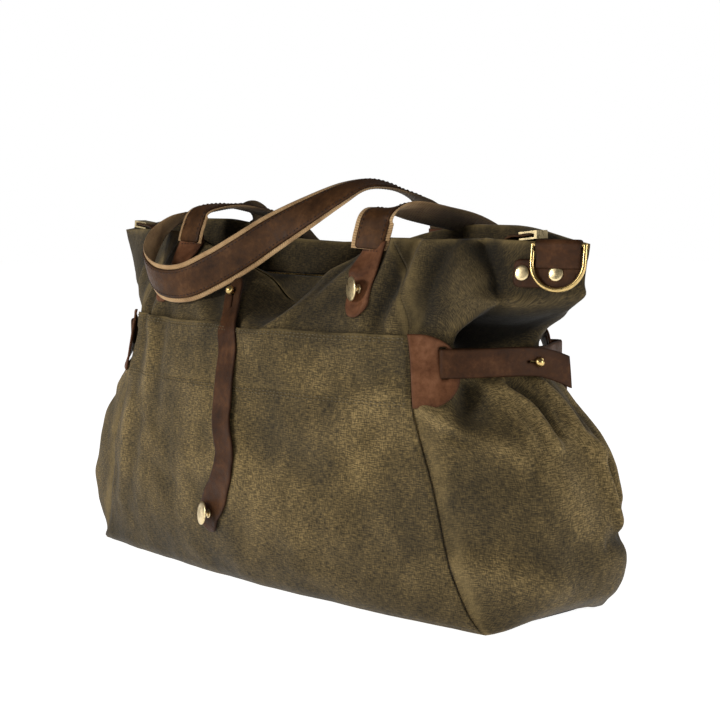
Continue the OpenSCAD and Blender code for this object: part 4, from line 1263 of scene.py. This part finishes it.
def make_side_strap(side):
    """The strap through both patches of an end, and its free end with a hole for the stud."""
    word, move = SIDES[side], mirrored(side)
    stud = move(np.array(SIDE_STUD) * MM)

    def hole_and_tail(x, y, place, length):
        s = np.linspace(0, length, 400)
        gap = place(0 * s, s, 0 * s) - stud
        at = s[np.argmin(np.linalg.norm(gap, axis=1))]
        slant = length - TAIL_CUT - TAIL_SLANT * x * side - y
        return np.minimum(keyhole(x, y, 0, at, HOLE_R, 11 * MM, SLIT_W), slant)

    piece = strip_piece(word + "_side_strap_leather", upright(UNDER_STRAP, side), STRAP_W, STRAP_T,
                        move)
    dress(piece, "shell", "leather", strap_leather, word + "_side_strap")
    piece = strip_piece(word + "_side_strap_end_leather", upright(OVER_STRAP, side), STRAP_W, STRAP_T,
                        move, hole_and_tail, 1.5 * MM, 0.9 * MM)
    dress(piece, word + "_strap_end", "leather", strap_leather, word + "_side_strap_end")
    direction = np.array(stud_direction(SIDE_STUD_YAW * side))
    turned(word + "_side_stud", BALL, [(stud - direction * STUD_SUNK, direction)], brass)


# ---------- D-rings and zip ends ----------

PLATE_Y, PLATE_T = 2.35 * MM, 2.2 * MM
LOOP_W, LOOP_T = 40 * MM, 2 * MM
# Sections of the leather loop round the bar and of the zip's leather ends, as keys for ribbon.
RING_LOOP = [(0, y, z, 1, 0, 0) for y, z in (
    (3.4, -22), (3.5, -10), (3.3, -2), (1.8, 2.9), (-1.4, 3.1), (-3.3, 0), (-2.7, -3.4), (-0.2, -7),
    (0.7, -12), (0.9, -20))]
TAIL = [(x, -24, z, 0, 1, 0) for x, z in ((219, 291), (236, 311), (253, 331.5), (268, 334.4), (281, 336))]
# Middle of each D-ring's bar in mm, the way its leather faces and its tilt, in degrees.
RING_AT = {1: (306.5, -26.4, 327.5), -1: (-306.1, 3, 327.5)}
RING_TURN, RING_TILT = {1: 20, -1: 193}, -10
# The rivets' places along the bar, and how far below it they are.
RIVET_X = (-32, -2)
RING_DROP = -24


def ring_place(side):
    """Places points given beside a D-ring: x along its bar, y into the wing, z up."""
    m = np.array(Matrix.Translation(Vector(RING_AT[side]) * MM)
                 @ Matrix.Rotation(math.radians(RING_TURN[side]), 4, "Z")
                 @ Matrix.Rotation(math.radians(RING_TILT), 4, "X"))
    return lambda p: p @ m[:3, :3].T + m[:3, 3]


def make_ring_leather(side):
    word, at = SIDES[side], ring_place(side)

    def shape(x, z):
        base = box_distance(x, z, -12 * MM, RING_DROP * MM, 28 * MM, 12 * MM, 6 * MM)
        neck = box_distance(x, z, 0, -13 * MM, LOOP_W / 2 - 1 * MM, 11 * MM, 1 * MM)
        return np.minimum(base, neck)

    def lay(x, z, h):
        return at(stack(x, PLATE_Y + PLATE_T - h, z))

    base = hide_mesh(word + "_ring_base", shape, (-40 * MM, -36 * MM), (18 * MM, -2 * MM), PLATE_T, lay,
                     1 * MM)
    dress(base, "shell", "leather", strap_leather, word + "_ring_tab")
    loop = strip_piece(word + "_ring_loop", RING_LOOP, LOOP_W, LOOP_T, at, None, 2 * MM)
    dress(loop, "shell", "leather", strap_leather)
    forwards = at(np.array([0, -1.0, 0])) - at(np.zeros(3))
    places = [(at(np.array([x, 0, RING_DROP]) * MM + (0, PLATE_Y, 0)), forwards) for x in RIVET_X]
    turned(word + "_ring_rivets", RIVET, places, pale_brass)


def make_zip_tail(side):
    word = SIDES[side]
    piece = strip_piece(word + "_zip_tail_leather", TAIL, 20 * MM, 2 * MM, mirrored(side))
    dress(piece, "shell", "leather", handle_leather, word + "_zip_tail")


def finish_hardware():
    """Brass and board that keep their CAD shape get their finish."""
    made = {"front_zip_teeth": brass, "back_zip_teeth": brass, "zip_slider": brass, "zip_pull": brass,
            "left_zip_clip": pale_brass, "right_zip_clip": pale_brass, "left_d_ring": brass,
            "right_d_ring": brass, "base_board": stiffener}
    for name, finish in made.items():
        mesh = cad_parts[name].data
        mesh.materials.clear()
        mesh.materials.append(finish)


# ---------- Stitching of the pocket ----------

def pocket_row(points, to_hem, depth):
    """A line across the pocket at a depth below its hem, and the way out along it."""
    i = int(np.argmin(np.abs(to_hem - depth)))
    i = min(max(i, 1), len(to_hem) - 1)
    share = (to_hem[i - 1] - depth) / (to_hem[i - 1] - to_hem[i])
    p = mix(points[i - 1], points[i], share)
    out = outward(p)
    return p + out * 0.45 * MM, out


def make_pocket_stitching(points, to_hem):
    """Two rows of stitches under the hem and two along the line below it."""
    depths = (2.6 * MM, 5.4 * MM, POCKET_LINE - 1.4 * MM, POCKET_LINE + 1.4 * MM)
    rows = [pocket_row(points, to_hem, depth) for depth in depths]
    piece = stitch_piece("front_pocket_stitching", rows, 4.4 * MM, 3.1 * MM, 0.9 * MM)
    dress(piece, "shell", "canvas", tan_thread)


# ---------- The whole bag ----------

def make_middle():
    make_panels()
    make_base()
    pocket = make_pocket()
    make_lining_floor()
    make_lining()
    for front in (True, False):
        make_facing(front)
        make_tape(front)
    make_handles()
    for side, word in SIDES.items():
        make_tab("front_" + word + "_tab", side, True)
        make_tab("back_" + word + "_tab", side, False)
    make_centre_strap()
    make_studs()
    make_pocket_stitching(*pocket)


def make_ends():
    for side in SIDES:
        make_patch(side, True)
        make_patch(side, False)
        make_side_strap(side)
        make_ring_leather(side)
        make_zip_tail(side)


make_middle()
make_ends()
finish_hardware()

# ---------- Floor, light and camera ----------

FLOOR_SIZE = 12
# The room is seen as white, but lights the bag with only a share of that.
ROOM_GLOW, FLOOR_GLOW = 0.10, 0.93
# Lights: name, place, size in metres, power in watts and colour.
LIGHTS = [("key", (-0.7, -2.2, 0.9), 0.7, 29, (1, 0.98, 0.95)),
          ("fill", (2.4, 0.3, 0.7), 1.0, 16, (1, 1, 1)),
          ("rim", (0.6, 2.0, 1.8), 1.2, 8, (1, 1, 1))]
LIGHTS_AIM = Vector((0, 0, 0.15))
# Camera: its bearing and height, its distance from the aim and its move aside, in metres.
AIM_AZIMUTH, AIM_PITCH = math.radians(47), math.radians(5.8136)
LENS, SENSOR = 85, 36
DISTANCE = 1.6621
AIM = Vector((0, 0, 0.165))
SHIFT_RIGHT, SHIFT_UP = 0.0251, 0.0418


def floor_material():
    made, tree = material("floor")
    surface(tree, {"Base Color": (0.7, 0.7, 0.695), "Emission Color": (1, 1, 1),
                   "Emission Strength": FLOOR_GLOW, "Roughness": 0.75})
    return made


def make_floor():
    half = FLOOR_SIZE / 2
    corners = [(-half, -half, 0), (half, -half, 0), (half, half, 0), (-half, half, 0)]
    floor = add_piece("floor", corners, [(0, 1, 2, 3)])
    floor.data.materials.append(floor_material())


def make_light(name, where, size, power, colour):
    data = bpy.data.lights.new(name, "AREA")
    data.shape = "DISK"
    data.size = size
    data.energy = power
    data.color = colour
    lamp = bpy.data.objects.new(name, data)
    lamp.location = where
    lamp.rotation_mode = "QUATERNION"
    lamp.rotation_quaternion = (LIGHTS_AIM - Vector(where)).to_track_quat("-Z", "Y")
    bpy.context.scene.collection.objects.link(lamp)


def make_world():
    world = bpy.data.worlds.new("studio")
    world.use_nodes = True
    tree = world.node_tree
    backdrop = tree.nodes["Background"]
    plug(tree, (1, 1, 1), backdrop.inputs["Color"])
    seen = node(tree, "ShaderNodeLightPath").outputs["Is Camera Ray"]
    strength = add(tree, times(tree, seen, 1 - ROOM_GLOW), ROOM_GLOW)
    plug(tree, strength, backdrop.inputs["Strength"])
    bpy.context.scene.world = world


def make_camera():
    a, e = AIM_AZIMUTH, AIM_PITCH
    back = Vector((math.sin(a) * math.cos(e), -math.cos(a) * math.cos(e), math.sin(e)))
    right = Vector((math.cos(a), math.sin(a), 0))
    data = bpy.data.cameras.new("camera")
    data.lens = LENS
    data.sensor_width = SENSOR
    camera = bpy.data.objects.new("camera", data)
    camera.location = AIM + back * DISTANCE + right * SHIFT_RIGHT + back.cross(right) * SHIFT_UP
    camera.rotation_mode = "QUATERNION"
    camera.rotation_quaternion = (-back).to_track_quat("-Z", "Y")
    bpy.context.scene.collection.objects.link(camera)
    bpy.context.scene.camera = camera


bpy.context.scene.view_settings.view_transform = "Standard"
make_floor()
for light in LIGHTS:
    make_light(*light)
make_world()
make_camera()
